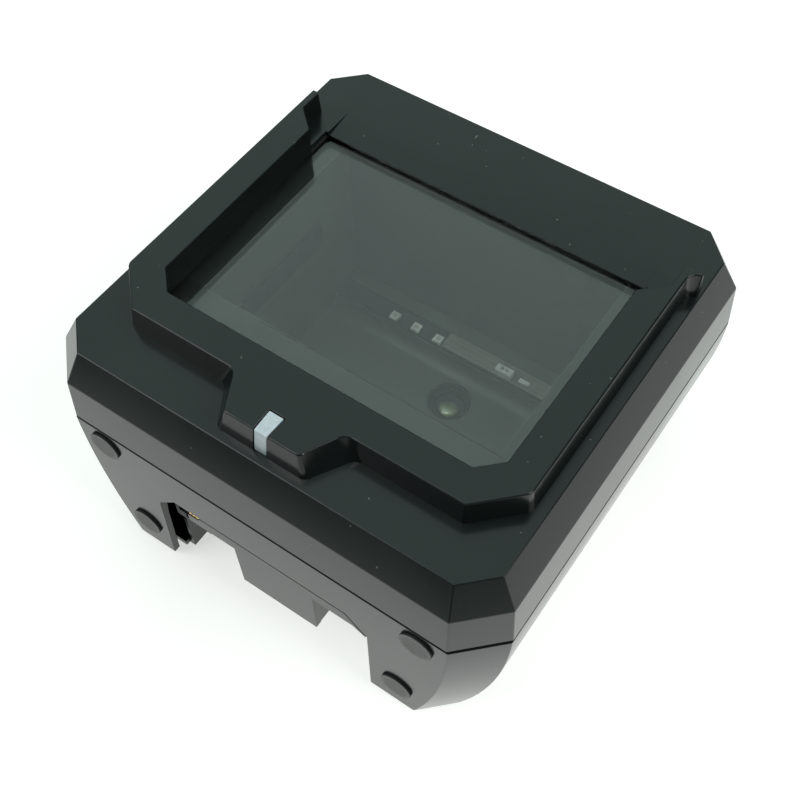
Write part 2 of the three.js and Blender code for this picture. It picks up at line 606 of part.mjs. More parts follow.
// Two-pin socket of the strip, open upward
function ledConnector() {
  const top = LEDGE_Z + BOARD;
  const pins = [-PIN_PITCH / 2, PIN_PITCH / 2].map((dx) => block(
    PLUG_SOCKET_X + dx - 0.6, PLUG_SOCKET_X + dx + 0.6, STRIP_Y - 1.8, STRIP_Y - 0.4, top + 0.8, top + 4));
  return cut(
    block(PLUG_SOCKET_X - PLUG_SOCKET_HALF, PLUG_SOCKET_X + PLUG_SOCKET_HALF, STRIP_Y - 2.7, STRIP_Y + 0.5,
      top + TOUCH, top + 2.6),
    ...pins,
  );
}

const stripResistor = () => block(RESISTOR_X - 2.2, RESISTOR_X + 2.2, STRIP_Y - 1.6, STRIP_Y + 0.2,
  LEDGE_Z + BOARD + TOUCH, LEDGE_Z + BOARD + 0.9);

function uvSide(side) {
  const outer = side * (HOOD_HALF - FIT);
  const inner = outer - side * BOARD;
  return block(Math.min(inner, outer), Math.max(inner, outer), UV_Y - UV_HALF_LENGTH,
    UV_Y + UV_HALF_LENGTH, UV_BOTTOM, UV_BOTTOM + UV_HEIGHT);
}

// Electronics in front of the hood, above the bay
const SOCKET_Y = 2.4;
const SOCKET_WIDTH = 15;
const SOCKET_X = FIT + SOCKET_WIDTH / 2 - BAY_HALF;
const SOCKET_DEPTH = 16;
const SOCKET_BOTTOM = BAY_ROOF - 12.8;
const MOUTH_HALF = 6;
const MOUTH_TOP = BAY_ROOF - 2;
const MOUTH_HEIGHT = 7;
const MOUTH_DEPTH = 12.5;
const LATCH_HALF = 3.2;
const LATCH_DROP = 2.4;
const MAIN_BOARD_Z = BAY_ROOF + WALL + 3;
const MAIN_BOARD_HALF = ARCH_HALF + 10.9;
const MAIN_BOARD_FRONT = 5;
const MAIN_BOARD_BACK = HOOD_FRONT - 2.6;
const BOARD_TOP = MAIN_BOARD_Z + BOARD + TOUCH;
const SCREW_HEAD = 2.8;
const SCREW_SHANK = SCREW_HOLE - 0.1;
const SLOT_HALF = 1.6;
const SLOT_DEPTH = 0.7;
const SCREW_SEAT_Z = BASE_Z + 1.3;

const mainBoard = () => {
  const plate = block(-MAIN_BOARD_HALF, MAIN_BOARD_HALF, MAIN_BOARD_FRONT, MAIN_BOARD_BACK,
    MAIN_BOARD_Z, MAIN_BOARD_Z + BOARD);
  const [x, y0, y1] = [BAY_HALF - 3, MAIN_BOARD_FRONT + 7, BAY_DEPTH - 2];
  const spacers = [[-x, y0], [x, y0], [-x, y1], [x, y1]].map(([px, py]) => post(
    px, py, 2.6, BAY_ROOF + WALL + TOUCH, MAIN_BOARD_Z + 0.2, 20));
  return join(plate, ...spacers);
};

const PROCESSOR_X = -3;
const PROCESSOR_SIDE = 18;
const MEMORY_X = 18;
const MEMORY_SIDE = 12;
const PLUG_HALF = 9;
const PLUG_DEPTH = 5;
const CHIP_Y = (MAIN_BOARD_FRONT + MAIN_BOARD_BACK) / 2;

function squareChip(x, side, height) {
  const [dx, top] = [side / 2, BOARD_TOP + height];
  return block(x - dx, x + dx, CHIP_Y - dx, CHIP_Y + dx, BOARD_TOP, top);
}

function boardConnector() {
  const x = PLUG_HALF + 10 - MAIN_BOARD_HALF;
  const back = MAIN_BOARD_BACK - 3;
  return block(x - PLUG_HALF, x + PLUG_HALF, back - PLUG_DEPTH, back, BOARD_TOP, BOARD_TOP + 5);
}

// Data socket: faces forward beside the bay's wall, with a stepped mouth for the plug and its latch
function dataSocket() {
  const hollow = (half, z0, z1) => block(
    SOCKET_X - half, SOCKET_X + half, SOCKET_Y - 1, SOCKET_Y + MOUTH_DEPTH, z0, z1);
  const half = SOCKET_WIDTH / 2;
  const body = block(SOCKET_X - half, SOCKET_X + half, SOCKET_Y, SOCKET_Y + SOCKET_DEPTH,
    SOCKET_BOTTOM, BAY_ROOF - FIT);
  const mouth = hollow(MOUTH_HALF, MOUTH_TOP - MOUTH_HEIGHT, MOUTH_TOP);
  const latch = hollow(LATCH_HALF, MOUTH_TOP - MOUTH_HEIGHT - LATCH_DROP, MOUTH_TOP - 1);
  return cut(body, mouth, latch);
}

const CONTACTS = 8;
const CONTACT_PITCH = 1.27;

// A sprung contact slants down and back from the top of the mouth
function socketContact(i) {
  const x = SOCKET_X + (i - (CONTACTS - 1) / 2) * CONTACT_PITCH;
  const front = SOCKET_Y + 0.5;
  return runAlongX([
    [front, MOUTH_TOP - 2.1], [front + 8, MOUTH_TOP - 4.4], [front + 8.2, MOUTH_TOP - 3.9],
    [front + 0.7, MOUTH_TOP - 1.7], [front + 0.7, MOUTH_TOP - TOUCH], [front, MOUTH_TOP - TOUCH],
  ], x - 0.25, x + 0.25);
}

// Flat cable from the camera board up to the main board
const CABLE_HALF = 5;
const CABLE_THICKNESS = 0.35;

function flatCable() {
  const start = LENS_Y - 9;
  const rise = MAIN_BOARD_BACK + 2;
  const end = MAIN_BOARD_BACK - 6;
  const low = CAMERA_BOARD_Z + BOARD + TOUCH;
  return runAlongX([
    [start, low], [start, low + CABLE_THICKNESS],
    [rise + CABLE_THICKNESS, low + CABLE_THICKNESS],
    [rise + CABLE_THICKNESS, BOARD_TOP + CABLE_THICKNESS],
    [end, BOARD_TOP + CABLE_THICKNESS], [end, BOARD_TOP], [rise, BOARD_TOP], [rise, low],
  ], -CABLE_HALF, CABLE_HALF);
}

// Buzzer: round can with a sound hole
const BUZZER_RADIUS = 6;
const BUZZER_HEIGHT = 6;

const buzzer = () => turned([
  [0, BOARD_TOP], [BUZZER_RADIUS, BOARD_TOP], [BUZZER_RADIUS, BOARD_TOP + BUZZER_HEIGHT - 0.4],
  [BUZZER_RADIUS - 0.4, BOARD_TOP + BUZZER_HEIGHT], [1, BOARD_TOP + BUZZER_HEIGHT],
  [1, BOARD_TOP + BUZZER_HEIGHT - 1], [0, BOARD_TOP + BUZZER_HEIGHT - 1],
], MAIN_BOARD_HALF - 18, MAIN_BOARD_FRONT + 9, 28);

// Contactless reader board and its antenna loop round the window
const RF_Y = HOOD_BACK + 5.5;
const RF_HALF = HOOD_HALF - 9;
const RF_BOTTOM = 20;
const RF_TOP = 62;
const RF_SHIELD_X = 2;
const RF_SHIELD_HALF = 22;

const antennaFrame = () => cut(
  prism(windowOutline(9), GLASS_UNDER_Z + 0.4, GLASS_UNDER_Z + 1.4),
  prism(windowOutline(GLASS_MARGIN + 0.4), GLASS_UNDER_Z - 1, GLASS_UNDER_Z + 3),
);

const rfBoard = () => block(-RF_HALF, RF_HALF, RF_Y, RF_Y + BOARD, RF_BOTTOM, RF_TOP);

function rfShield() {
  const back = RF_Y + BOARD;
  return block(RF_SHIELD_X - RF_SHIELD_HALF, RF_SHIELD_X + RF_SHIELD_HALF, back + TOUCH, back + 3.4,
    RF_BOTTOM + 6, RF_TOP - 10);
}

const statusBoard = () => block(-STATUS_BOARD_HALF, STATUS_BOARD_HALF, STATUS_BOARD_FRONT,
  STATUS_BOARD_BACK, STATUS_BOARD_Z, STATUS_BOARD_Z + BOARD);

const statusLed = () => block(-LED_SIZE / 2, LED_SIZE / 2, TAB_TIP + PIPE_FRONT + 1,
  TAB_TIP + PIPE_FRONT + 1 + LED_SIZE, STATUS_BOARD_Z + BOARD + TOUCH, PIPE_BOTTOM_Z - FIT);

const documentSensor = (x) => block(x - 2, x + 2, SENSOR_Y - 1.8, SENSOR_Y + 1.8,
  GLASS_UNDER_Z - FIT - 4, GLASS_UNDER_Z - FIT - 2 - TOUCH);

function coverScrew(x, y) {
  const headTop = SCREW_SEAT_Z - TOUCH;
  return cut(
    turned([
      [0, BASE_Z + 0.1], [SCREW_HEAD - 0.5, BASE_Z + 0.1], [SCREW_HEAD, BASE_Z + 0.6],
      [SCREW_HEAD, headTop], [SCREW_SHANK, headTop], [SCREW_SHANK, DECK_Z - 8], [0, DECK_Z - 7.4],
    ], x, y, 24),
    block(x - SLOT_HALF, x + SLOT_HALF, y - 0.3, y + 0.3, BASE_Z - 1, BASE_Z + SLOT_DEPTH),
    block(x - 0.3, x + 0.3, y - SLOT_HALF, y + SLOT_HALF, BASE_Z - 1, BASE_Z + SLOT_DEPTH),
  );
}

// Materials
function material(color, roughness, metalness = 0) {
  return new THREE.MeshStandardMaterial({ color, roughness, metalness });
}

const casing = () => material('#3b4441', 0.62);
const hoodBlack = () => material('#161a19', 0.7);
const rubber = () => material('#4a504d', 0.9);
const board = () => material('#1f4a34', 0.5);
const chip = () => material('#1b1c1d', 0.45);
const steel = () => material('#a9adb0', 0.35, 1);
const gold = () => material('#c9a24a', 0.3, 1);

// Assembly
const reader = new THREE.Group();
reader.name = 'passport_reader';
reader.position.y = -(SEAM_BACK + SEAM_FRONT - TOUCH - FRONT_FOOT_THICKNESS) / 2;

function add(name, shape, look) {
  const geometry = shape.isBufferGeometry ? shape : geometryOf(shape);
  const mesh = new THREE.Mesh(geometry, look);
  mesh.name = name;
  reader.add(mesh);
}

add('upper_housing', upperHousing(), casing());
add('lower_housing', lowerHousing(), casing());
add('bottom_cover', bottomCover(), casing());
add('cable_cover', cableCover(), casing());
add('ground_spring', groundSpring(), gold());
add('glass_platen', glassPlaten(), material('#55605c', 0.05));
add('glass_gasket', glassGasket(), rubber());
add('light_pipe', lightPipe(), material('#e4edf2', 0.2));

FRONT_FEET.forEach(([x, z], i) => add(`front_foot_${i + 1}`, frontFoot(x, z), rubber()));
BOTTOM_FEET.forEach(([x, y], i) => add(`bottom_foot_${i + 1}`, bottomFoot(x, y), rubber()));
SCREW_SPOTS.forEach(([x, y], i) => add(`cover_screw_${i + 1}`, coverScrew(x, y), steel()));

add('optical_hood', opticalHood(), hoodBlack());
add('camera_board', cameraBoard(), board());
add('image_sensor', imageSensor(), chip());
add('lens_holder', lensHolder(), chip());
add('lens_barrel', lensBarrel(), material('#26282a', 0.4, 0.6));
add('front_lens', frontLens(), material('#8d7a4e', 0.05));
add('rear_led_board', rearLedBoard(), material('#6e6a5b', 0.6));
LED_SPOTS.forEach((x, i) => add(`page_led_${i + 1}`, led(x), material('#f2f1e6', 0.4)));
add('led_connector', ledConnector(), material('#eeeee6', 0.5));
add('strip_resistor', stripResistor(), material('#d8d6cc', 0.5));
add('uv_board_left', uvSide(-1), board());
add('uv_board_right', uvSide(1), board());
add('main_board', mainBoard(), board());
add('processor', squareChip(PROCESSOR_X, PROCESSOR_SIDE, 1.6), chip());
add('memory_chip', squareChip(MEMORY_X, MEMORY_SIDE, 1.2), chip());
add('board_connector', boardConnector(), material('#e7e4d6', 0.5));
add('buzzer', buzzer(), chip());
add('flat_cable', flatCable(), material('#d9dcd2', 0.6));
add('data_socket', dataSocket(), chip());
for (let i = 0; i < CONTACTS; i += 1) {
  add(`socket_contact_${i + 1}`, socketContact(i), gold());
}
add('rf_board', rfBoard(), board());
add('rf_shield', rfShield(), steel());
add('antenna_frame', antennaFrame(), material('#8a6a3a', 0.6));
add('status_board', statusBoard(), board());
add('status_led', statusLed(), material('#f2f1e6', 0.4));
SENSOR_SPOTS.forEach((x, i) => add(`document_sensor_${i + 1}`, documentSensor(x), chip()));

export default reader;
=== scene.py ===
# %% [markdown]
# # A desktop passport reader
# The reader is a low eight-sided housing of dark plastic. A raised U-shaped frame guides an open
# passport onto a glass window, a small tab carries the status light, and the data cable plugs in
# behind an arch in the front wall. The engineering model is loaded first as a fixed frame, and
# each visible moulding is then modelled over it with the soft edges and textures of a real one.

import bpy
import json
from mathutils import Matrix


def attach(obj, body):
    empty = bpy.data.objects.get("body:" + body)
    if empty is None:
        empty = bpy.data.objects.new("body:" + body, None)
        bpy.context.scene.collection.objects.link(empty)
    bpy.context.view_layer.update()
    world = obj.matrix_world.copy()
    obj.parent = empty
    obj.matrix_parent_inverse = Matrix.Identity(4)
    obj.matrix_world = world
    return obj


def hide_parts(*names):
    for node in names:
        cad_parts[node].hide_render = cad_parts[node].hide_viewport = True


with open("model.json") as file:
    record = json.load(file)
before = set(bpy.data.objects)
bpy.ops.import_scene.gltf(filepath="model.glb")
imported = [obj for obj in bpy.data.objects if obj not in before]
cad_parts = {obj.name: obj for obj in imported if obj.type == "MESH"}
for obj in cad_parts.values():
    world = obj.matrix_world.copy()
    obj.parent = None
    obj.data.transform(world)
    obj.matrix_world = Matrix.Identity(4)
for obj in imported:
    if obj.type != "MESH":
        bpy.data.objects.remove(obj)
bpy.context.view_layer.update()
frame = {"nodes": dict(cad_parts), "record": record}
print("nodes in the frame:", len(frame["nodes"]))

# %% [markdown]
# ## Measuring in millimetres
# A maker's drawing of a moulding is in millimetres, and this one is measured from the front rim.
# Blender works in metres, and the frame is centred over its footprint, so one small function
# turns a drawing place into a scene place. Writing metres everywhere would work as well, but the
# numbers would no longer look like the drawing's.

# %% Units and places
from mathutils import Vector

MM = 0.001
Y_CENTRE = 82.99


def at(x, y, z):
    return Vector((x * MM, (y - Y_CENTRE) * MM, z * MM))


SEAM_Z = 68.5
RIM_Z = 86.4
DECK_Z = 97.7
FRAME_Z = 106.7
print("top of the frame:", at(0, 0, FRAME_Z).z)

# %% [markdown]
# ## The camera
# The photograph was taken from the front right, looking down steeply with a fairly long lens.
# Its place comes first, because every later choice is judged through it. A camera can be aimed
# with a constraint, but here its axes are worked out from two angles and a slight roll, because
# that leaves nothing live in the scene.

# %% Camera at the photograph's viewing angle
import math
import bpy
from mathutils import Matrix

TURN, TILT, ROLL = math.radians(35.62), math.radians(55.84), math.radians(-1.17)
DISTANCE, FOCAL = 0.3672, 52.97
AIM = (18.6, 53.9, RIM_Z)

back = Vector((math.sin(TURN) * math.cos(TILT), -math.cos(TURN) * math.cos(TILT), math.sin(TILT)))
side = (-back).cross(Vector((0, 0, 1))).normalized()
up = side.cross(-back)
camera_data = bpy.data.cameras.new("camera")
camera = bpy.data.objects.new("camera", camera_data)
bpy.context.scene.collection.objects.link(camera)
camera_data.lens = FOCAL
camera_data.sensor_width = 36
camera_data.clip_start = 0.01
axis_x = side * math.cos(ROLL) + up * math.sin(ROLL)
axis_y = up * math.cos(ROLL) - side * math.sin(ROLL)
turned = Matrix((axis_x, axis_y, back)).transposed().to_4x4()
camera.matrix_world = Matrix.Translation(at(*AIM) + back * DISTANCE) @ turned
bpy.context.scene.camera = camera
print("camera at", [round(c, 3) for c in camera.location])

# %% [markdown]
# ## Working as by hand
# Every new piece starts as a primitive and is then shaped in edit mode. By hand one would click
# the faces to work on. In a script they are chosen by place, so a few helpers wrap the steps
# that come back for each piece: make one object active, open it, and pick what lies somewhere.

# %% Helpers: make active, open and leave
def only(piece):
    bpy.ops.object.select_all(action="DESELECT")
    piece.select_set(True)
    bpy.context.view_layer.objects.active = piece


def edit(piece):
    only(piece)
    bpy.ops.object.mode_set(mode="EDIT")
    bpy.ops.mesh.select_all(action="DESELECT")


def leave():
    bpy.ops.object.mode_set(mode="OBJECT")


# %% Helpers: pick by place
import bmesh


def pick(kind, test):
    """Selects the verts, edges or faces whose middle passes a test on its place in millimetres."""
    bpy.ops.mesh.select_mode(type=kind)
    bpy.ops.mesh.select_all(action="DESELECT")
    data = bpy.context.edit_object.data
    mesh = bmesh.from_edit_mesh(data)
    found = 0
    for item in {"VERT": mesh.verts, "EDGE": mesh.edges, "FACE": mesh.faces}[kind]:
        if kind == "VERT":
            middle = item.co
        elif kind == "EDGE":
            middle = (item.verts[0].co + item.verts[1].co) / 2
        else:
            middle = item.calc_center_median()
        if test(middle.x / MM, middle.y / MM + Y_CENTRE, middle.z / MM, item):
            item.select_set(True)
            found += 1
    bmesh.update_edit_mesh(data)
    return found


# %% Helpers: tests of a place
def near(value, target, slack=0.05):
    return abs(value - target) < slack


def runs(edge, axis):
    """Tells whether an edge runs along X, Y or Z."""
    way = (edge.verts[1].co - edge.verts[0].co).normalized()
    return abs(way["XYZ".index(axis)]) > 0.95


# %% Helpers: move, pull and stretch what is selected
def shift(x, y, z):
    bpy.ops.transform.translate(value=(x * MM, y * MM, z * MM))


def pull(x, y, z):
    bpy.ops.mesh.extrude_region_move(TRANSFORM_OT_translate={"value": (x * MM, y * MM, z * MM)})


def pull_edges(z):
    bpy.ops.mesh.extrude_edges_move(TRANSFORM_OT_translate={"value": (0, 0, z * MM)})


def stretch(x, y, *fixed):
    """Scales along X and Y from a place that stays fixed."""
    bpy.ops.transform.resize(value=(x, y, 1), center_override=at(*fixed))


# %% Helpers: chamfer and inset what is selected
def chamfer(width, segments=1):
    bpy.ops.mesh.bevel(offset=width * MM, affect="EDGES", segments=segments)


def cut_corners(width, segments=1):
    bpy.ops.mesh.bevel(offset=width * MM, affect="VERTICES", segments=segments)


def inset(width, depth=0):
    bpy.ops.mesh.inset(thickness=width * MM, depth=depth * MM)


# %% Helpers: split and weld the whole mesh
def split(x, y, z, normal, **rest):
    """Cuts along a plane through a place."""
    bpy.ops.mesh.select_all(action="SELECT")
    bpy.ops.mesh.bisect(plane_co=at(x, y, z), plane_no=normal, **rest)


def weld(gap):
    """Merges all points that lie closer together than a gap in millimetres."""
    bpy.ops.mesh.select_all(action="SELECT")
    bpy.ops.mesh.remove_doubles(threshold=gap * MM)


# %% [markdown]
# Most pieces start from a box, a flat plate or a drum. A box and a plate are made one metre large
# and then scaled, and the scale is applied at once, because a bevel on an unapplied scale comes
# out uneven. Applying the place as well leaves every object at the origin.

# %% Helpers: primitives at their size and place
def settle(name, scale=(1, 1, 1)):
    """Names the primitive that was just added, scales it and applies its size and place."""
    piece = bpy.context.object
    piece.name = name
    piece.scale = scale
    bpy.ops.object.transform_apply(location=True, rotation=True, scale=True)
    return piece


def box(name, x0, x1, y0, y1, z0, z1):
    low, high = at(x0, y0, z0), at(x1, y1, z1)
    bpy.ops.mesh.primitive_cube_add(size=1, location=(low + high) / 2)
    return settle(name, high - low)


def plate(name, x0, x1, y0, y1, z):
    low, high = at(x0, y0, z), at(x1, y1, z)
    bpy.ops.mesh.primitive_plane_add(size=1, location=(low + high) / 2)
    return settle(name, (high.x - low.x, high.y - low.y, 1))


def drum(name, x, y, z0, z1, radius, sides):
    bpy.ops.mesh.primitive_cylinder_add(
        vertices=sides, radius=radius * MM, depth=(z1 - z0) * MM, location=at(x, y, (z0 + z1) / 2))
    return settle(name)


# %% [markdown]
# Cutting, joining and thickening are modifiers that are applied straight away, as nothing here
# has to stay editable. Shading comes last: rounded edges shade softly, flat faces stay flat, and
# weighted normals keep the large faces from looking dented next to a rounding.

# %% Helpers: modifiers that are applied at once
def modify(piece, kind, **settings):
    only(piece)
    modifier = piece.modifiers.new(kind.lower(), kind)
    for name, value in settings.items():
        setattr(modifier, name, value)
    bpy.ops.object.modifier_apply(modifier=modifier.name)


def carve(piece, *cutters, operation="DIFFERENCE"):
    for cutter in cutters:
        modify(piece, "BOOLEAN", object=cutter, operation=operation, solver="EXACT")
        bpy.data.objects.remove(cutter)


def shade(piece):
    only(piece)
    bpy.ops.mesh.customdata_custom_splitnormals_clear()
    bpy.ops.object.shade_smooth_by_angle(angle=math.radians(30), keep_sharp_edges=False)
    modify(piece, "WEIGHTED_NORMAL", keep_sharp=True)


# %% Helpers: rounded edges
def soften(piece, width, segments=3, angle=24):
    """Rounds every edge that turns by more than an angle, as a mould would."""
    edit(piece)
    weld(0.01)
    leave()
    modify(piece, "BEVEL", width=width * MM, segments=segments, limit_method="ANGLE",
           angle_limit=math.radians(angle), use_clamp_overlap=True)


def soften_some(piece, width, rule, segments=3):
    """Rounds only the edges to which a rule on their middle gives a share of the width."""
    edit(piece)
    data = bpy.context.edit_object.data
    mesh = bmesh.from_edit_mesh(data)
    share = mesh.edges.layers.float.new("bevel_weight_edge")
    marked = 0
    for edge in mesh.edges:
        middle = (edge.verts[0].co + edge.verts[1].co) / 2
        edge[share] = rule(middle.x / MM, middle.y / MM + Y_CENTRE, middle.z / MM, edge)
        marked += edge[share] > 0
    bmesh.update_edit_mesh(data)
    leave()
    modify(piece, "BEVEL", width=width * MM, segments=segments, limit_method="WEIGHT",
           use_clamp_overlap=False)
    print(piece.name, "edges rounded:", marked)


# %% Helpers: faces outward, and a piece handed over
def outward(piece):
    edit(piece)
    weld(0.01)
    bpy.ops.mesh.normals_make_consistent(inside=False)
    leave()


finish_of_piece = {}


def keep(piece, slot, *nodes):
    shade(piece)
    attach(piece, "root")
    finish_of_piece[piece.name] = slot
    if nodes:
        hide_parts(*nodes)
    print(piece.name, "faces:", len(piece.data.polygons))


# %% [markdown]
# ## The upper housing: band, bevel and deck
# On the real reader the whole top is one injection moulding. Its wall leans in a little above
# the seam, a wide bevel follows, and the deck closes it. A stack of chamfered boxes would leave
# seams, so a flat plate gets its four corners cut and is then inset twice with a depth, which
# raises the band and the bevel at exact offsets all round.

# %% Band, bevel and deck
HALF_WIDTH, SEAM_GAP, UPPER_WALL = 86.7, 0.3, 2
CASING_CUT, BAND_LEAN, BEVEL_RUN = 14.02, 1.2, 5.9

casing = plate("upper_casing", -HALF_WIDTH, HALF_WIDTH, -1.2, 168.2, SEAM_Z + SEAM_GAP)
edit(casing)
pick("VERT", lambda x, y, z, v: True)
cut_corners(CASING_CUT)
pick("FACE", lambda x, y, z, f: True)
inset(BAND_LEAN, RIM_Z - SEAM_Z - SEAM_GAP)
inset(BEVEL_RUN, DECK_Z - RIM_Z)
leave()
modify(casing, "SOLIDIFY", thickness=UPPER_WALL * MM, offset=-1, use_even_offset=True)
soften(casing, 0.3, angle=15)
print("casing corners:", len(casing.data.vertices))

# %% [markdown]
# The deck opens over the glass. Behind the window it dips in a shallow ramp, so that the page's
# edge doesn't catch as it slides in. Both are cut with blocks: one with two corners taken off,
# and one whose lower back edge is lifted to make a wedge.

# %% Window and lead-in
OPENING_FRONT, RAMP_BACK, RAMP_DROP = 34.6, 140, 1.3

hole = box("hole", -64.5, 64.5, OPENING_FRONT, 128, 90, 100)
edit(hole)
pick("EDGE", lambda x, y, z, e: runs(e, "Z") and near(y, OPENING_FRONT))
chamfer(7.7)
leave()
ramp = box("ramp", -63.5, 63.5, 127, RAMP_BACK, DECK_Z - RAMP_DROP, DECK_Z + 1)
edit(ramp)
pick("EDGE", lambda x, y, z, e: near(y, RAMP_BACK) and near(z, DECK_Z - RAMP_DROP))
shift(0, 0, RAMP_DROP)
leave()
carve(casing, hole, ramp)
print("casing faces with its opening:", len(casing.data.polygons))

# %% [markdown]
# ## The document frame
# The frame stands 9 mm above the deck, with a slight draft so that it leaves the mould. Its
# front carries the status tab. The outline is drawn flat first: the front edge of a plate is
# divided and its middle pulled forward, as the tab. Then the outline is raised, and the window
# and the widening mouth are cut out of it.

# %% Outline with the tab
FRAME_HALF, FRAME_FRONT, ARM_END = 75.8, 23, 136.2
TAB_ROOT_HALF, TAB_TIP_HALF, TAB_REACH = 24.82, 16.34, 14.12
TAB_TIP = FRAME_FRONT - TAB_REACH
CORNER_CUT = 14.04
HIDDEN_Z = 95.4

guide = plate("guide", -FRAME_HALF, FRAME_HALF, FRAME_FRONT, ARM_END, HIDDEN_Z)
edit(guide)
pick("EDGE", lambda x, y, z, e: near(y, FRAME_FRONT))
bpy.ops.mesh.subdivide(number_cuts=2)
pick("VERT", lambda x, y, z, v: near(y, FRAME_FRONT) and abs(x) < 40)
stretch(TAB_ROOT_HALF / (FRAME_HALF / 3), 1, 0, FRAME_FRONT, HIDDEN_Z)
pick("EDGE", lambda x, y, z, e: near(y, FRAME_FRONT) and abs(x) < 1)
pull(0, -TAB_REACH, 0)
stretch(TAB_TIP_HALF / TAB_ROOT_HALF, 1, 0, TAB_TIP, HIDDEN_Z)
pick("VERT", lambda x, y, z, v: near(y, FRAME_FRONT) and abs(x) > 60)
cut_corners(CORNER_CUT)
bpy.ops.mesh.select_mode(type="FACE")
bpy.ops.mesh.select_all(action="SELECT")
bpy.ops.mesh.dissolve_faces()
leave()
print("tab from", TAB_TIP, "to", FRAME_FRONT, "mm")

# %% [markdown]
# A mould has no knife-sharp upright corners. Each pair of corners of the outline, left and right,
# is rounded with its own radius while the outline is still flat, because a vertex bevel on a flat
# outline can't fail, and the rounding then goes up with the wall.

# %% Rounded corners of the outline
CORNERS = [  # radius, least and largest half width, depth
    (1.5, 15, 18, TAB_TIP), (2.1, 24, 26, FRAME_FRONT), (0.9, 60, 63, FRAME_FRONT),
    (1.6, 75, 77, FRAME_FRONT + CORNER_CUT),
]
edit(guide)
for radius, low, high, depth in CORNERS:
    pick("VERT", lambda x, y, z, v: low < abs(x) < high and near(y, depth, 0.3))
    cut_corners(radius, 4)
leave()
print("outline points:", len(guide.data.vertices))

# %% [markdown]
# The walls lean in by 1.2 mm over their height. Extruding and then scaling would lean the long
# walls more than the short ones, so an inset with a depth raises the top, which keeps the lean
# the same all round. Only the tab is drawn in a little more, as it is in the photograph: its
# root and tip go from the half widths that the inset leaves to those of the real top.

# %% Raise it with its draft
FRAME_FOOT = 97.2
DRAFT = 1.2
ROOT_INSET, ROOT_TOP = 24.14, 20.5
TIP_INSET, TIP_TOP, TIP_RAKE = 15.66, 13.7, 0.72

edit(guide)
pick("FACE", lambda x, y, z, f: True)
pull(0, 0, FRAME_FOOT - HIDDEN_Z)
inset(DRAFT, FRAME_Z - FRAME_FOOT)
pick("VERT", lambda x, y, z, v: near(z, FRAME_Z) and abs(x) < 30 and 20 < y < 30)
stretch(ROOT_TOP / ROOT_INSET, 1, 0, 24.2, FRAME_Z)
pick("VERT", lambda x, y, z, v: near(z, FRAME_Z) and abs(x) < 30 and y < 15)
stretch(TIP_TOP / TIP_INSET, 1, 0, 10, FRAME_Z)
shift(0, TIP_RAKE, 0)
bpy.ops.mesh.select_all(action="SELECT")
bpy.ops.mesh.vert_connect_nonplanar(angle_limit=math.radians(0.2))
leave()
outward(guide)
print("frame stands", round(FRAME_Z - DECK_Z, 1), "mm above the deck")

# %% [markdown]
# Three openings go through the frame: the window, the mouth that widens towards the back and so
# guides the page in, and the slot of the status light. Each is a plain block that is shaped
# first and then taken away, because a block is easier to measure than a hole.

# %% Window, mouth and slot
PAGE_HALF, MOUTH_HALF, MOUTH_START, FUNNEL = 63.5, 71.9, 125.6, 7.6
WINDOW_FRONT, SLOT_BACK, SLOT_HALF = 35.6, 18.8, 2.5

window = box("window", -PAGE_HALF, PAGE_HALF, WINDOW_FRONT, 150, 90, 110)
edit(window)
pick("EDGE", lambda x, y, z, e: runs(e, "Z") and near(y, WINDOW_FRONT))
chamfer(7.1)
leave()
mouth = box("mouth", -MOUTH_HALF, MOUTH_HALF, MOUTH_START, 150, 90, 110)
edit(mouth)
pick("FACE", lambda x, y, z, f: near(y, MOUTH_START))
pull(0, -FUNNEL, 0)
stretch(PAGE_HALF / MOUTH_HALF, 1, 0, MOUTH_START - FUNNEL, 100)
leave()
slot_cut = box("slot_cut", -SLOT_HALF, SLOT_HALF, 4, SLOT_BACK, 97.75, 112)
edit(slot_cut)
pick("FACE", lambda x, y, z, f: near(y, SLOT_BACK))
stretch(2.75 / SLOT_HALF, 1, 0, SLOT_BACK, 100)
leave()
carve(guide, window, mouth, slot_cut)
print("page guide is", 2 * PAGE_HALF, "mm wide, its mouth", 2 * MOUTH_HALF, "mm")

# %% [markdown]
# The outer wall of the right arm sweeps outward at its tip, as a thumb rest would. A block with
# a round bite taken out of it gives that sweep, and is then united with the arm.

# %% Swept tip of the right arm
SWEEP_X, SWEEP_Y, SWEEP_TOP, SWEEP_FOOT = 78.8, 130, 4.2, 3

tip = box("tip", 73.5, 78.4, SWEEP_Y, ARM_END, FRAME_FOOT, FRAME_Z)
edit(tip)
pick("EDGE", lambda x, y, z, e: near(y, ARM_END) and near(z, FRAME_Z))
shift(0, -DRAFT, 0)
leave()
bite = drum("bite", SWEEP_X, SWEEP_Y, FRAME_FOOT, FRAME_Z, SWEEP_TOP, 40)
edit(bite)
pick("FACE", lambda x, y, z, f: near(z, FRAME_FOOT))
narrowing = SWEEP_FOOT / SWEEP_TOP
stretch(narrowing, narrowing, SWEEP_X, SWEEP_Y, FRAME_FOOT)
pick("FACE", lambda x, y, z, f: abs(f.normal.z) > 0.99)
bpy.ops.mesh.extrude_faces_move(TRANSFORM_OT_shrink_fatten={"value": 2 * MM})
leave()
carve(tip, bite)
carve(guide, tip, operation="UNION")
print("corners with the swept tip:", len(guide.data.vertices))

# %% [markdown]
# The union leaves slivers and edges that lie inside flat faces, and a bevel stumbles over both.
# So near points are merged and those edges dissolved before the inner corners of the two arms
# get their roundings.

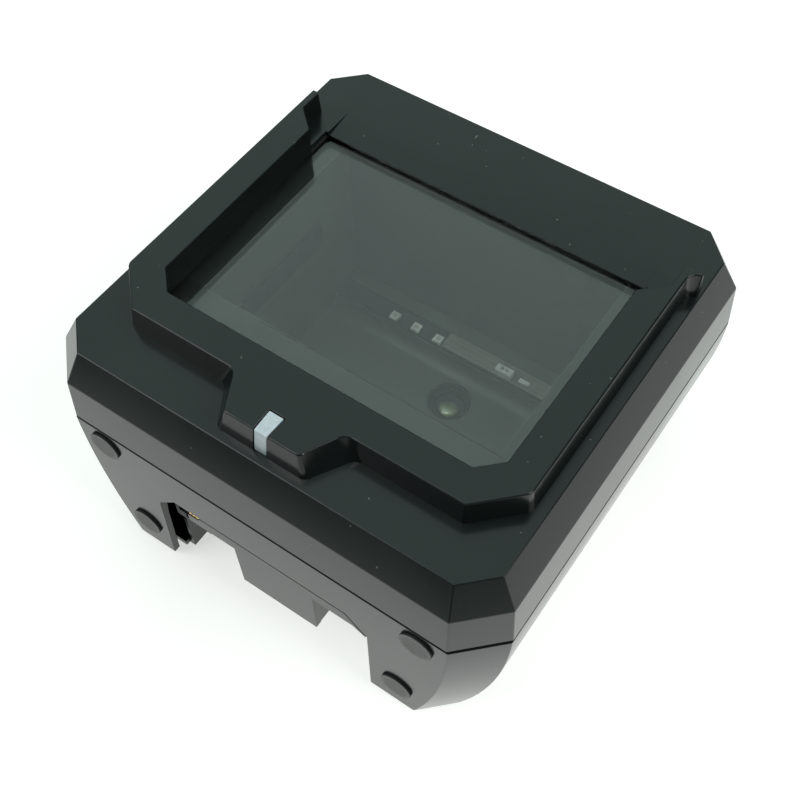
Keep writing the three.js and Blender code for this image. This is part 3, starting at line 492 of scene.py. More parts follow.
# %% Clean joint and rounded arm ends
edit(guide)
weld(0.05)
inside_flat = pick("EDGE", lambda x, y, z, e: x > 70 and y > 128 and e.calc_face_angle(1) < 0.01)
bpy.ops.mesh.dissolve_edges(use_verts=False)
print("edges inside flat faces:", inside_flat)
for inner_edge, radius in [(MOUTH_HALF, 2.2), (-MOUTH_HALF, 1.2)]:
    pick("EDGE", lambda x, y, z, e: runs(e, "Z") and near(x, inner_edge, 0.2) and y > 134)
    chamfer(radius, 6)
weld(0.03)
leave()

# %% [markdown]
# The arms are held and touched, so their outer edge is rounder than the others. Each edge gets a
# share of one bevel width, which lets a wide rounding fade into a narrow one at the corners.

# %% Rounded top edges of the frame
def frame_edge(x, y, z, edge):
    on_top = all(near(v.co.z / MM, FRAME_Z, 0.02) for v in edge.verts)
    if not on_top or edge.calc_face_angle(0) < 0.1:
        return 0
    if x < 72.4:
        return 0.4
    rising = min(max((y - 34.5) / 4.5, 0), 1)
    fading = min(max((134 - y) / 7, 0), 1)
    return 0.4 + 0.22 * min(rising, fading)


soften_some(guide, 1.1, frame_edge, segments=4)
carve(casing, guide, operation="UNION")
keep(casing, "casing", "upper_housing")

# %% [markdown]
# ## The lower housing
# The skirt under the seam draws in towards the table along a large radius on its two sides,
# while its front and back stay upright. It is built ring by ring from the seam down, as a lathe
# operator would step down a profile. A short recessed lip at the top makes the dark line that
# shows all round between the two mouldings.

# %% Lip under the seam
LIP_HALF, LIP_DEPTH, LIP_HEIGHT = 85.8, 0.9, 0.7
HALF_DEPTH, MIDDLE_Y = 84.7, 83.5

skirt = plate("lower_skirt", -LIP_HALF, LIP_HALF, -0.3, 167.3, SEAM_Z)
edit(skirt)
pick("VERT", lambda x, y, z, v: True)
cut_corners(13.5)
bpy.ops.mesh.select_all(action="SELECT")
bpy.ops.mesh.delete(type="ONLY_FACE")
bpy.ops.mesh.select_mode(type="EDGE")
bpy.ops.mesh.select_all(action="SELECT")
pull_edges(-LIP_HEIGHT)
pull_edges(0)  # a second ring, which the next line widens to the wall
stretch(HALF_WIDTH / LIP_HALF, HALF_DEPTH / (HALF_DEPTH - LIP_DEPTH),
        0, MIDDLE_Y, SEAM_Z - LIP_HEIGHT)
print("the lip stands back", LIP_DEPTH, "mm")

# %% Rings of the skirt
SIDE_RADIUS, SKIRT_FOOT, RINGS = 165, 1.5, 12


def half_width(z):
    drop = SEAM_Z - z
    return HALF_WIDTH - (SIDE_RADIUS - math.sqrt(SIDE_RADIUS ** 2 - drop ** 2))


level = SEAM_Z - LIP_HEIGHT
step = (level - SKIRT_FOOT) / RINGS
for ring in range(RINGS):
    pull_edges(-step)
    narrower = half_width(level - step) / half_width(level)
    level -= step
    stretch(narrower, 1, 0, MIDDLE_Y, level)
print("bottom half width:", round(half_width(SKIRT_FOOT), 2))

# %% [markdown]
# The cut corners get narrower as the sides draw in. Scaling would keep their width, so on each
# ring the corner points that lie on a side slide towards the front and the back, a little
# further on every ring. Only then does the skin get its wall thickness.

# %% Narrower corners, and the wall
CORNER_SLIDE, LOWER_WALL = 2.3, 2.6

for ring in range(RINGS):
    z_ring = SEAM_Z - LIP_HEIGHT - step * (ring + 1)
    slide = (ring + 1) / RINGS * CORNER_SLIDE
    for front, way in [(True, -1), (False, 1)]:
        pick("VERT", lambda x, y, z, v: near(z, z_ring, 0.2) and (y < 20 if front else y > 140)
             and near(abs(x), half_width(z_ring), 0.3))
        shift(0, way * slide, 0)
leave()
outward(skirt)
modify(skirt, "SOLIDIFY", thickness=LOWER_WALL * MM, offset=-1, use_even_offset=True)
soften(skirt, 0.3, angle=30)
print("skirt faces:", len(skirt.data.polygons))

# %% [markdown]
# The front wall opens in an arch with two sloping shoulders, so that the cable can leave in
# three directions. A block with two chamfered edges is the tool that cuts it. Its left side leans
# outward by two millimetres at the foot, as the leg beside it gets narrower there.

# %% Arch in the front wall
ARCH_HALF, ARCH_TOP, LEG_LEAN = 43.1, 48.1, 2

arch = box("arch", -ARCH_HALF, ARCH_HALF, -8, 2.4, -4, ARCH_TOP)
edit(arch)
pick("EDGE", lambda x, y, z, e: runs(e, "Y") and near(z, ARCH_TOP))
chamfer(8)
pick("EDGE", lambda x, y, z, e: runs(e, "Y") and near(x, -ARCH_HALF) and near(z, -4))
shift(-LEG_LEAN, 0, 0)
leave()
carve(skirt, arch)
print("arch is", 2 * ARCH_HALF, "mm wide and", ARCH_TOP, "mm high")


# %% Rounded rim of the arch
def arch_edge(x, y, z, edge):
    """Picks the sharp edges on the outer face of the arch, and not those that run inward."""
    outside = y < 2.31 * (1 - z / 68) + 0.05
    at_arch = -ARCH_HALF - 2.2 < x < ARCH_HALF + 0.1 and z < ARCH_TOP + 0.1
    sharp = len(edge.link_faces) == 2 and edge.calc_face_angle(0) > 0.5
    inward = abs(edge.verts[0].co.y - edge.verts[1].co.y) >= 0.003
    return 1 if outside and at_arch and sharp and not inward else 0


soften_some(skirt, 0.35, arch_edge)
keep(skirt, "casing", "lower_housing")

# %% [markdown]
# ## The cable cover
# A separate insert closes the top of the arch and hangs down as a tongue, which hides the plug
# and is pulled off to reach it. Its face is flush with the wall, and only a fine parting line
# gives it away, so it keeps a gap of three tenths of a millimetre all round. At its left end the
# face bends inward, and a notch in its top edge lets a gold plated spring glint through.

# %% Face of the insert
INSERT_LEFT, INSERT_RIGHT, INSERT_LOW, INSERT_HIGH = -31.9, 37.8, 42.4, 47.8

insert = box("cable_insert", INSERT_LEFT, INSERT_RIGHT, -1.2, 1.4, INSERT_LOW, INSERT_HIGH)
edit(insert)
pick("EDGE", lambda x, y, z, e: runs(e, "Y") and near(x, INSERT_LEFT) and near(z, INSERT_LOW))
shift(0.8, 0, 0)
pick("EDGE", lambda x, y, z, e: runs(e, "Y") and near(x, INSERT_RIGHT) and near(z, INSERT_HIGH))
shift(-2.88, 0, 0)
pick("FACE", lambda x, y, z, f: f.normal.x > 0.8)
pull(4.6, 0, -2.7)
pick("EDGE", lambda x, y, z, e: runs(e, "Y") and near(x, 39.52, 0.1) and near(z, 45.1, 0.1))
shift(3.28, 0, -5.12)
print("corners of the insert:", len(insert.data.vertices))

# %% [markdown]
# The tongue is the middle of the insert's lower face, pulled down by 22.4 mm. Two cuts with
# bisect mark its width first. It could be a second block, but then a seam would show in a face
# that is one moulding on the real cover.

# %% Tongue
TONGUE_LEFT, TONGUE_RIGHT, TONGUE_DROP = -10.3, 21.7, 22.4

for cut_x in (TONGUE_LEFT, TONGUE_RIGHT):
    split(cut_x, 0, 0, (1, 0, 0))
pick("FACE", lambda x, y, z, f: near(z, INSERT_LOW) and -10 < x < 21)
pull(0, 0, -TONGUE_DROP)
pick("EDGE", lambda x, y, z, e: runs(e, "Y") and near(x, TONGUE_LEFT) and near(z, 20))
shift(0.8, 0, 0)
leave()
print("tongue is", TONGUE_RIGHT - TONGUE_LEFT, "mm wide")

# %% [markdown]
# Behind the tongue two walls and a bridge between them make a short tunnel for the plug. They are
# three plain blocks, united with the face one after the other.

# %% Walls behind the tongue
left_wall = box("left_wall", -9.5, -7.5, -0.2, 28, 20.2, 43.2)
right_wall = box("right_wall", 19.7, 21.6, -0.2, 28, 20.2, 43.2)
bridge = box("bridge", -9.4, 21.5, -0.1, 27.9, 41.2, 43.1)
carve(insert, left_wall, right_wall, bridge, operation="UNION")
print("cover faces with its walls:", len(insert.data.polygons))

# %% [markdown]
# The left end of the face turns inward, and a notch above it shows the gold plated spring. A
# wedge, which is a block with one corner moved in, takes the end off, and a small block cuts the
# notch.

# %% Bent left end and the notch of the earthing spring
bend = box("bend", -32.9, -28.1, -2.2, 1.2, 41.4, 48.8)
edit(bend)
pick("EDGE", lambda x, y, z, e: runs(e, "Z") and near(x, -28.1) and near(y, 1.2))
shift(-2.4, -1.7, 0)
leave()
carve(insert, bend, box("notch", -29.5, -24.7, -2.2, 3, 46.3, 48.8))
soften(insert, 0.3)
keep(insert, "casing", "cable_cover")

# %% [markdown]
# ## The status window
# A milky light pipe lies in a slot of the tab and bends over its front edge, so that its light
# is seen from above and from the front. It is one block that widens a little to the back, and
# its front is raked like the tab's. A leg goes down from it to the lamp on its board, and that
# leg is pulled out of the block's lower face after a cut has marked where it starts.

# %% Light pipe
PIPE_HALF, PIPE_FRONT, PIPE_BACK, PIPE_FOOT = 2.3, 10.8, 18.5, 97.9
LEG_FRONT, LEG_LENGTH = 13.1, 3.2

pipe = box("status_pipe", -PIPE_HALF, PIPE_HALF, PIPE_FRONT, PIPE_BACK, PIPE_FOOT, FRAME_Z)
edit(pipe)
pick("EDGE", lambda x, y, z, e: runs(e, "X") and near(y, PIPE_FRONT) and near(z, PIPE_FOOT))
shift(0, -1.5, 0)
pick("FACE", lambda x, y, z, f: near(y, PIPE_BACK))
stretch(2.6 / PIPE_HALF, 1, 0, PIPE_BACK, 100)
split(0, LEG_FRONT, 0, (0, 1, 0))
pick("FACE", lambda x, y, z, f: f.normal.z < -0.9 and y > LEG_FRONT)
pull(0, 0, -LEG_LENGTH)
leave()
soften(pipe, 0.3)
keep(pipe, "light_pipe", "light_pipe")

# %% [markdown]
# ## Feet
# Four round rubber pads sit on the front face, and four larger ones underneath. They are made
# like moulded feet: a short drum, a raised rim left standing by an inset, and a rounded edge.
# One of each kind is modelled and the others are copies with a mesh of their own.

# %% Helpers: one foot, and its copies
def rubber_foot(radius, height, dish):
    foot = drum("pad", 0, Y_CENTRE, 0, height, radius, 64)
    edit(foot)
    pick("FACE", lambda x, y, z, f: f.normal.z > 0.9)
    inset(0.9)
    inset(0.4, -dish)
    leave()
    soften(foot, 0.22)
    return foot


def place_feet(pad, kind, places, degrees):
    """Copies a foot to each place, turned about X, and removes the one that was copied."""
    turn = Matrix.Rotation(math.radians(degrees), 4, "X")
    for number, place in enumerate(places, 1):
        twin = pad.copy()
        twin.data = pad.data.copy()
        twin.name = f"{kind}_pad_{number}"
        bpy.context.scene.collection.objects.link(twin)
        twin.data.transform(Matrix.Translation(at(*place)) @ turn)
        keep(twin, "rubber", f"{kind}_foot_{number}")
    bpy.data.objects.remove(pad)


# %% Pads on the front face and underneath
FRONT_WALL, BOTTOM_HEIGHT = -1.22, 1.48

place_feet(rubber_foot(5.9, 1, 0.12), "front", [
    (-62.2, FRONT_WALL, 60), (62.2, FRONT_WALL, 60),
    (-54.4, FRONT_WALL, 15.8), (54.4, FRONT_WALL, 15.8),
], 90)
place_feet(rubber_foot(7, BOTTOM_HEIGHT, 0.25), "bottom", [
    (-55.48, 12, BOTTOM_HEIGHT), (55.48, 12, BOTTOM_HEIGHT),
    (-55.48, 155, BOTTOM_HEIGHT), (55.48, 155, BOTTOM_HEIGHT),
], 180)

# %% [markdown]
# ## What shows through the glass
# Under the window a black hood keeps stray light from the camera. Its floor rises in a cove to a
# ledge that carries the lighting strip, and the lens looks up through a round opening. The
# hollow is modelled as a solid of its own, with the cove rounded on it, and is then cut out. A
# fine groove in the shelf in front of the opening holds the edge of the seal.

# %% Hollow with its cove
HOLLOW_HALF, FLOOR_Z, LEDGE_Z, LEDGE_FRONT, LEDGE_RUN = 57, 18.4, 24.4, 115.1, 15.9

hollow = box("hollow", -HOLLOW_HALF, HOLLOW_HALF, 50.9, LEDGE_FRONT, FLOOR_Z, 96)
edit(hollow)
split(0, 0, LEDGE_Z, (0, 0, 1))
pick("FACE", lambda x, y, z, f: near(y, LEDGE_FRONT) and z > LEDGE_Z)
pull(0, LEDGE_RUN, 0)
pick("EDGE", lambda x, y, z, e: runs(e, "X") and near(y, LEDGE_FRONT) and near(z, FLOOR_Z))
chamfer(5.5, 8)
leave()
print("the ledge stands", round(LEDGE_Z - FLOOR_Z, 1), "mm over the floor")

# %% Hood
LENS_X, LENS_Y = 7.9, 100.8

hood = box("hood", -58.8, 58.8, 46.6, 132.8, 16.6, 91.7)
flange = box("flange", -66.5, 66.5, 32.6, 131, 89.8, 91.72)
edit(flange)
pick("EDGE", lambda x, y, z, e: runs(e, "Z") and near(y, 32.6))
chamfer(7.5)
leave()
carve(hood, flange, operation="UNION")
carve(hood, hollow, drum("lens_hole", LENS_X, LENS_Y, 10, 22, 8.5, 56))
soften(hood, 0.4)
carve(hood, box("groove", -33, 57.9, 50.1, 50.45, 91.2, 92.4))
keep(hood, "hood_black", "optical_hood")

# %% [markdown]
# ## The lens
# A camera lens seen from the front is a stack of rings that step down to the glass. The rings
# are drawn as one circle that is extruded and scaled again and again, which is how a profile is
# turned without a lathe.

# %% Lens rings
BARREL_RADIUS, BARREL_FOOT = 6.6, 9.6
PROFILE = [
    (BARREL_RADIUS, 14.4), (6.3, 14.8), (5.4, 14.8), (5.2, 14.2), (4.9, 14.2), (4.7, 13.6),
    (4.4, 13.6), (4.2, 13.0), (3.4, 13.0), (3.4, BARREL_FOOT),
]

bpy.ops.mesh.primitive_circle_add(vertices=64, radius=BARREL_RADIUS * MM,
                                  location=at(LENS_X, LENS_Y, BARREL_FOOT))
rings = settle("lens_rings")
edit(rings)
bpy.ops.mesh.select_mode(type="EDGE")
bpy.ops.mesh.select_all(action="SELECT")
radius, height = BARREL_RADIUS, BARREL_FOOT
for new_radius, new_height in PROFILE:
    pull_edges(new_height - height)
    scale = new_radius / radius
    stretch(scale, scale, LENS_X, LENS_Y, new_height)
    radius, height = new_radius, new_height
pick("EDGE", lambda x, y, z, e: near(z, BARREL_FOOT))
bpy.ops.mesh.bridge_edge_loops()
leave()
outward(rings)
soften(rings, 0.08, segments=2)
keep(rings, "lens_metal", "lens_barrel")

# %% [markdown]
# The front element is a dome of glass. A sphere flattened to three tenths of its height gives
# the curve, and a cut just under its middle leaves the dome. Its flat underside gets a ground
# rim and a shallow recess, as such an element has towards the next one.

# %% Front element
ELEMENT_FLAT = 13.25

bpy.ops.mesh.primitive_uv_sphere_add(segments=48, ring_count=24, radius=3.9 * MM,
                                     location=at(LENS_X, LENS_Y, ELEMENT_FLAT + 0.05))
element = settle("lens_glass", (1, 1, 0.3))
edit(element)
split(0, 0, ELEMENT_FLAT, (0, 0, 1), use_fill=True, clear_inner=True)
pick("FACE", lambda x, y, z, f: near(z, ELEMENT_FLAT, 0.01) and f.normal.z < -0.9)
inset(0.25)
inset(0.1, 0.9)
leave()
keep(element, "lens_glass", "front_lens")

# %% [markdown]
# ## The lighting strip
# Three pale diodes show at the back of the hood. Each is a white package with a small square
# window over the chip, a little duller than its rim. A pocket cut into a rounded block gives that
# rim, and a thin tile lies in the pocket.

# %% Diodes
DIODE_PLACES, DIODE_Y = [-28.6, -18.5, -8.4], 117.7


def square(name, x, half, low, high):
    return box(name, x - half, x + half, DIODE_Y - half, DIODE_Y + half, low, high)


for number, x in enumerate(DIODE_PLACES, 1):
    diode = square(f"diode_{number}", x, 1.8, 26.02, 27.2)
    carve(diode, square("pocket", x, 0.85, 26.95, 28))
    soften(diode, 0.12, segments=2)
    keep(diode, "led", f"page_led_{number}")
    phosphor = square(f"phosphor_{number}", x, 0.8, 26.96, 27.06)
    edit(phosphor)
    pick("FACE", lambda px, py, pz, f: f.normal.z > 0.9)
    inset(0.3, 0.04)
    leave()
    soften(phosphor, 0.03, segments=2)
    keep(phosphor, "led")
    finish_of_piece[phosphor.name] = "phosphor"

# %% [markdown]
# ## Finishes
# Every finish is a small tree of nodes that reads the object's own coordinates, in metres, so a
# scale of 1000 gives grains a millimetre apart. Painted images could do the same, but they would
# need files and unwrapped meshes. One helper starts a finish, and one adds a node and fills in
# its inputs, by a value or by a link from another node.

# %% Helper: a new finish
finishes = {}


def new_finish(slot, name):
    made = bpy.data.materials.new(name)
    made.use_nodes = True
    finishes[slot] = made
    print("finish:", name)
    return made.node_tree


# %% Helpers: nodes and their inputs
def fill(tree, socket, value):
    if isinstance(value, bpy.types.NodeSocket):
        tree.links.new(value, socket)
    else:
        socket.default_value = value


def node(tree, kind, **inputs):
    """Adds a node. Each name is a setting, an input's name, or i and the input's number."""
    made = tree.nodes.new("ShaderNode" + kind)
    for name, value in inputs.items():
        if name in made.bl_rna.properties:
            setattr(made, name, value)
        else:
            key = int(name[1:]) if name[1:].isdigit() else name.replace("_", " ")
            fill(tree, made.inputs[key], value)
    return made


def shader(tree, **inputs):
    surface = tree.nodes["Principled BSDF"]
    for name, value in inputs.items():
        fill(tree, surface.inputs[name.replace("_", " ")], value)


# %% [markdown]
# Nearly every finish is woven from the same few threads: a place on the object, a noise over it,
# and two tones that the noise blends. Each has a helper, so a finish reads as a short recipe.

# %% Helpers: places and noise
def spot(tree, scale=(1, 1, 1), location=(0, 0, 0), rotation=(0, 0, 0)):
    own = node(tree, "TexCoord").outputs["Object"]
    return node(tree, "Mapping", Vector=own, Location=location, Rotation=rotation,
                Scale=scale).outputs["Vector"]


def part_of(tree, where, axis):
    return node(tree, "SeparateXYZ", Vector=where).outputs[axis]


def noise(tree, where, scale, detail=2.0, roughness=0.5):
    return node(tree, "TexNoise", Vector=where, Scale=scale, Detail=detail,
                Roughness=roughness).outputs["Fac"]


def span(tree, value, to_low, to_high, low=0.3, high=0.7):
    """Spreads one range over another. Most of a noise lies between 0.3 and 0.7."""
    return node(tree, "MapRange", i0=value, i1=low, i2=high, i3=to_low,
                i4=to_high).outputs["Result"]


# %% Helpers: sums, blends and bumps
def math_of(tree, operation, a, b=0):
    return node(tree, "Math", operation=operation, i0=a, i1=b).outputs["Value"]


def blend(tree, share, *colours):
    a, b = (c if isinstance(c, bpy.types.NodeSocket) else (*c, 1) for c in colours)
    return node(tree, "Mix", data_type="RGBA", i0=share, i6=a, i7=b).outputs[2]


def drift(tree, value, a, b):
    """Lets a colour drift between two tones as a noise does."""
    return blend(tree, span(tree, value, 0, 1), a, b)


def bump(tree, height, strength, depth):
    return node(tree, "Bump", Height=height, Strength=strength, Distance=depth).outputs["Normal"]


# %% Helpers: specks that sit on a surface
def specks(tree, where, scale, radius, share):
    """Small round dots, one at most in each cell, and only in a share of the cells."""
    cells = node(tree, "TexVoronoi", Vector=where, Scale=scale)
    dot = math_of(tree, "LESS_THAN", cells.outputs["Distance"], radius)
    tone = node(tree, "SeparateColor", Color=cells.outputs["Color"]).outputs["Red"]
    return math_of(tree, "MULTIPLY", dot, math_of(tree, "LESS_THAN", tone, share))


# %% [markdown]
# The casing is black plastic from a spark-eroded mould: almost black in itself, so what shows is
# its sheen. A fine grain breaks the sheen up, the roughness drifts a little over each face, and
# a few pale dust specks and short fibres lie on it, as the photograph shows. Dust could be a
# thousand small meshes, but cells of a Voronoi pattern give it for nothing.

# %% Casing plastic
tree = new_finish("casing", "casing_plastic")
where = spot(tree)
broad = noise(tree, where, 26.0, 3.0)
plastic = drift(tree, broad, (0.0075, 0.0110, 0.0104), (0.0100, 0.0140, 0.0132))
dust = specks(tree, where, 210.0, 0.05, 0.6)
fibre = specks(tree, spot(tree, (1, 0.2, 0.5), rotation=(0.3, 0.2, 0.7)), 170.0, 0.034, 0.5)
pale = math_of(tree, "MULTIPLY", math_of(tree, "MAXIMUM", dust, fibre), 0.6)
grain = noise(tree, where, 2400.0, 3.0, 0.6)
shader(tree, Base_Color=blend(tree, pale, plastic, (0.22, 0.23, 0.21)), IOR=1.385,
       Roughness=span(tree, broad, 0.16, 0.21), Normal=bump(tree, grain, 0.16, 0.00003))

# %% [markdown]
# The hood is the same plastic, left duller and without dust. Its side walls are darker where they
# reach the glass, and so is the shelf at the front; that darkening is painted shade, and the side
# walls there are also a little rougher. Ramps along the three axes find those places, which would
# otherwise need pieces or finishes of their own.

# %% Hood plastic
tree = new_finish("hood_black", "hood_plastic")
where = spot(tree)
broad = noise(tree, where, 22.0)
colour = drift(tree, broad, (0.058, 0.068, 0.060), (0.070, 0.082, 0.072))
aside = span(tree, math_of(tree, "ABSOLUTE", part_of(tree, where, "X")), 0, 1, 0.0570, 0.0574)
high = span(tree, part_of(tree, where, "Z"), 0, 1, 0.080, 0.088)
front = span(tree, part_of(tree, where, "Y"), 1, 0, -0.0322, -0.0318)
# painted shade on the side walls under the glass, which are also made rougher, and on the front
# shelf
painted_shade_and_duller = math_of(tree, "MULTIPLY", aside, high)
shelf = math_of(tree, "MULTIPLY", front, high)
# the two darker tones are painted shade
colour = blend(tree, painted_shade_and_duller, colour, (0.030, 0.036, 0.032))
colour = blend(tree, shelf, colour, (0.018, 0.022, 0.019))
rough = math_of(tree, "ADD", span(tree, broad, 0.34, 0.4), math_of(tree, "MULTIPLY", painted_shade_and_duller, 0.25))
shader(tree, Base_Color=colour, Roughness=rough, IOR=1.41)

# %% [markdown]
# The pads are grey rubber with a coarse speckle on their faces, and their edge is darkened as
# painted shade. The front pads' faces are the foremost points of the reader, so a ramp along its
# depth finds the edge behind them, and it also turns the pads underneath dark as a whole.

# %% Rubber
tree = new_finish("rubber", "pad_rubber")
where = spot(tree)
speckle = noise(tree, where, 1500.0, 4.0, 0.7)
grains = math_of(tree, "MULTIPLY", specks(tree, where, 1300.0, 0.25, 0.35), 0.5)
colour = blend(tree, span(tree, speckle, 0, 1, 0.35, 0.7), (0.105, 0.108, 0.104),
               (0.175, 0.180, 0.172))
colour = blend(tree, grains, colour, (0.27, 0.275, 0.265))
# painted shade: all that lies behind the front pads' faces turns almost black
painted_shade_edge = span(tree, part_of(tree, where, "Y"), 0, 1, -0.08512, -0.08500)
shader(tree, Base_Color=blend(tree, painted_shade_edge, colour, (0.010, 0.011, 0.011)), IOR=1.5,
       Roughness=span(tree, speckle, 0.6, 0.8), Normal=bump(tree, speckle, 0.5, 0.0001))

# %% [markdown]
# The glass is clear with a breath of green, and finger smears make it a little duller in places.
# A painted smear map could follow real fingers, but a stretched noise is enough behind a veil of
# light.

# %% Window glass
tree = new_finish("glass", "window_glass")
smear = noise(tree, spot(tree, (1, 2.4, 1), rotation=(0, 0, 0.5)), 38.0, 4.0, 0.6)
tint = blend(tree, span(tree, smear, 0, 1, 0.4, 0.7), (0.93, 0.97, 0.95), (0.9, 0.945, 0.925))
shader(tree, Base_Color=tint, Roughness=span(tree, smear, 0.0, 0.06, 0.5, 0.75), IOR=1.5,
       Transmission_Weight=1.0)

# %% [markdown]
# The light pipe is a milky clear plastic. Light goes in and comes out elsewhere, which is what
# subsurface scattering does. It is a little cloudier in some places than in others, and duller
# at its foot, where less light gets through.

# %% Milky light pipe
tree = new_finish("light_pipe", "milky_pipe")
where = spot(tree)
cloud = noise(tree, where, 420.0, 3.0)
colour = drift(tree, cloud, (0.44, 0.51, 0.54), (0.55, 0.61, 0.63))
above_foot = span(tree, part_of(tree, where, "Z"), 0, 1, 0.0985, 0.1005)
shader(tree, Base_Color=blend(tree, above_foot, (0.34, 0.39, 0.40), colour), IOR=1.49,
       Roughness=span(tree, cloud, 0.28, 0.38), Subsurface_Weight=0.6,
       Subsurface_Radius=(0.0012, 0.0015, 0.0018), Subsurface_Scale=1.0)

# %% [markdown]
# Metals. The screws are zinc plated steel with fine turning marks, the contacts are gold over
# nickel, and the lens holder is black anodised aluminium with rings from the lathe. Real marks
# would be too many faces, so streaks come from a noise that is squeezed along one axis, and the
# rings from a wave texture centred on the lens.

# %% Steel, gold and anodised aluminium
tree = new_finish("steel", "zinc_steel")
streak = noise(tree, spot(tree, (1, 1, 0.04)), 2600.0)
colour = blend(tree, streak, (0.50, 0.51, 0.50), (0.66, 0.67, 0.66))
shader(tree, Base_Color=colour, Metallic=1.0, Roughness=span(tree, streak, 0.24, 0.4),
       Normal=bump(tree, streak, 0.2, 0.00003))

tree = new_finish("gold", "gold_plate")
wipe = noise(tree, spot(tree, (1, 0.2, 1)), 1800.0)
colour = blend(tree, wipe, (0.78, 0.52, 0.16), (0.95, 0.70, 0.30))
shader(tree, Base_Color=colour, Metallic=1.0, Roughness=span(tree, wipe, 0.18, 0.32))

tree = new_finish("lens_metal", "black_anodised")
centred = spot(tree, location=-at(LENS_X, LENS_Y, 0))
turned_rings = node(tree, "TexWave", wave_type="RINGS", rings_direction="Z", Vector=centred,
                    Scale=700.0).outputs["Fac"]
colour = blend(tree, turned_rings, (0.010, 0.011, 0.012), (0.030, 0.032, 0.034))
shader(tree, Base_Color=colour, Metallic=1.0, Roughness=span(tree, turned_rings, 0.28, 0.4, 0, 1),
       Normal=bump(tree, turned_rings, 0.3, 0.00003))

# %% [markdown]
# The front lens is coated. Its colour holds a painted glint, yellow green towards its front, and a
# painted reflection of the coating, dark and violet towards its rim. A ramp along the lens gives
# the first, and the angle at which the surface is seen, which Layer Weight measures, gives the
# second.

# %% Coated lens
tree = new_finish("lens_glass", "coated_lens")
where = spot(tree)
rim = node(tree, "LayerWeight", Blend=0.35).outputs["Facing"]
haze = noise(tree, where, 900.0)
to_back = span(tree, part_of(tree, where, "Y"), 0, 1, 0.0140, 0.0205)
# painted glint: yellow green at the front of the lens, dark towards its back
glow = blend(tree, to_back, (0.36, 0.42, 0.14), (0.07, 0.10, 0.07))
# painted reflection: dark violet where the lens is seen at a slant
shader(tree, Base_Color=blend(tree, rim, glow, (0.05, 0.03, 0.10)), IOR=1.7,
       Roughness=span(tree, haze, 0.03, 0.08), Coat_Weight=1.0, Coat_Roughness=0.02)

# %% [markdown]
# Circuit boards are laminate under solder mask. Copper tracks show as slightly raised, lighter
# lines, and plated holes sit between them. Bricks with long rows make convincing tracks, and
# cells on a regular grid make the holes, so no track has to be drawn.

# %% Helper: a board
def board(slot, name, mask, track, hole, row=0.0016):
    tree = new_finish(slot, name)
    where = spot(tree)
    lines = node(tree, "TexBrick", Vector=where, Scale=1.0, Mortar_Size=0.00016,
                 Brick_Width=0.011, Row_Height=row, offset=0.37, squash=0.6,
                 squash_frequency=3).outputs["Fac"]
    cells = node(tree, "TexVoronoi", Vector=where, Scale=260.0, Randomness=0.35)
    near_hole = math_of(tree, "LESS_THAN", cells.outputs["Distance"], 0.13)
    tone = node(tree, "SeparateColor", Color=cells.outputs["Color"]).outputs["Green"]
    plated = math_of(tree, "MULTIPLY", near_hole, math_of(tree, "LESS_THAN", tone, 0.3))
    weave = noise(tree, where, 900.0)
    colour = blend(tree, weave, mask, [c * 0.8 for c in mask])
    colour = blend(tree, math_of(tree, "MULTIPLY", lines, 0.7), colour, track)
    shader(tree, Base_Color=blend(tree, plated, colour, hole), IOR=1.5,
           Roughness=span(tree, weave, 0.28, 0.4), Normal=bump(tree, lines, 0.4, 0.00004))
    return tree


# %% [markdown]
# Four boards differ only in colour and in the pitch of their tracks. Those inside the hood are
# masked black. The lighting strip is pale laminate that is painted dark but for its back edge to
# the right of the diodes, so two ramps mark what stays bare.

# %% Boards and the paint on the strip
board("circuit_board", "green_board", (0.008, 0.06, 0.03), (0.02, 0.12, 0.06), (0.55, 0.42, 0.2))
board("dark_board", "dark_board", (0.022, 0.026, 0.024), (0.034, 0.040, 0.036), (0.2, 0.17, 0.1))
board("copper_laminate", "antenna_board", (0.16, 0.10, 0.04), (0.45, 0.24, 0.10),
      (0.6, 0.36, 0.18), 0.0012)
tree = board("led_board", "pale_board", (0.24, 0.225, 0.20), (0.30, 0.28, 0.25),
             (0.5, 0.45, 0.34), 0.0024)
laminate = tree.nodes["Principled BSDF"].inputs["Base Color"].links[0].from_socket
where = spot(tree)
bare = math_of(tree, "MULTIPLY", span(tree, part_of(tree, where, "X"), 0, 1, -0.0063, -0.0058),
               span(tree, part_of(tree, where, "Y"), 0, 1, 0.0331, 0.0334))
shader(tree, Base_Color=blend(tree, bare, (0.012, 0.016, 0.014), laminate))

# %% [markdown]
# Small parts: epoxy of the chips, the white package of the diodes with its duller window, and
# the nylon of the connectors. None of them is one flat colour on a real board, and they differ
# only in numbers, so one function mixes them all.

# %% Small parts
def mottled(slot, name, dark, light, scale, rough_low, rough_high, depth, **more):
    tree = new_finish(slot, name)
    where = spot(tree)
    patch = noise(tree, where, scale, 3.0)
    fine = noise(tree, where, scale * 6)
    shader(tree, Base_Color=drift(tree, patch, dark, light),
           Roughness=span(tree, patch, rough_low, rough_high),
           Normal=bump(tree, fine, 0.25, depth), **more)


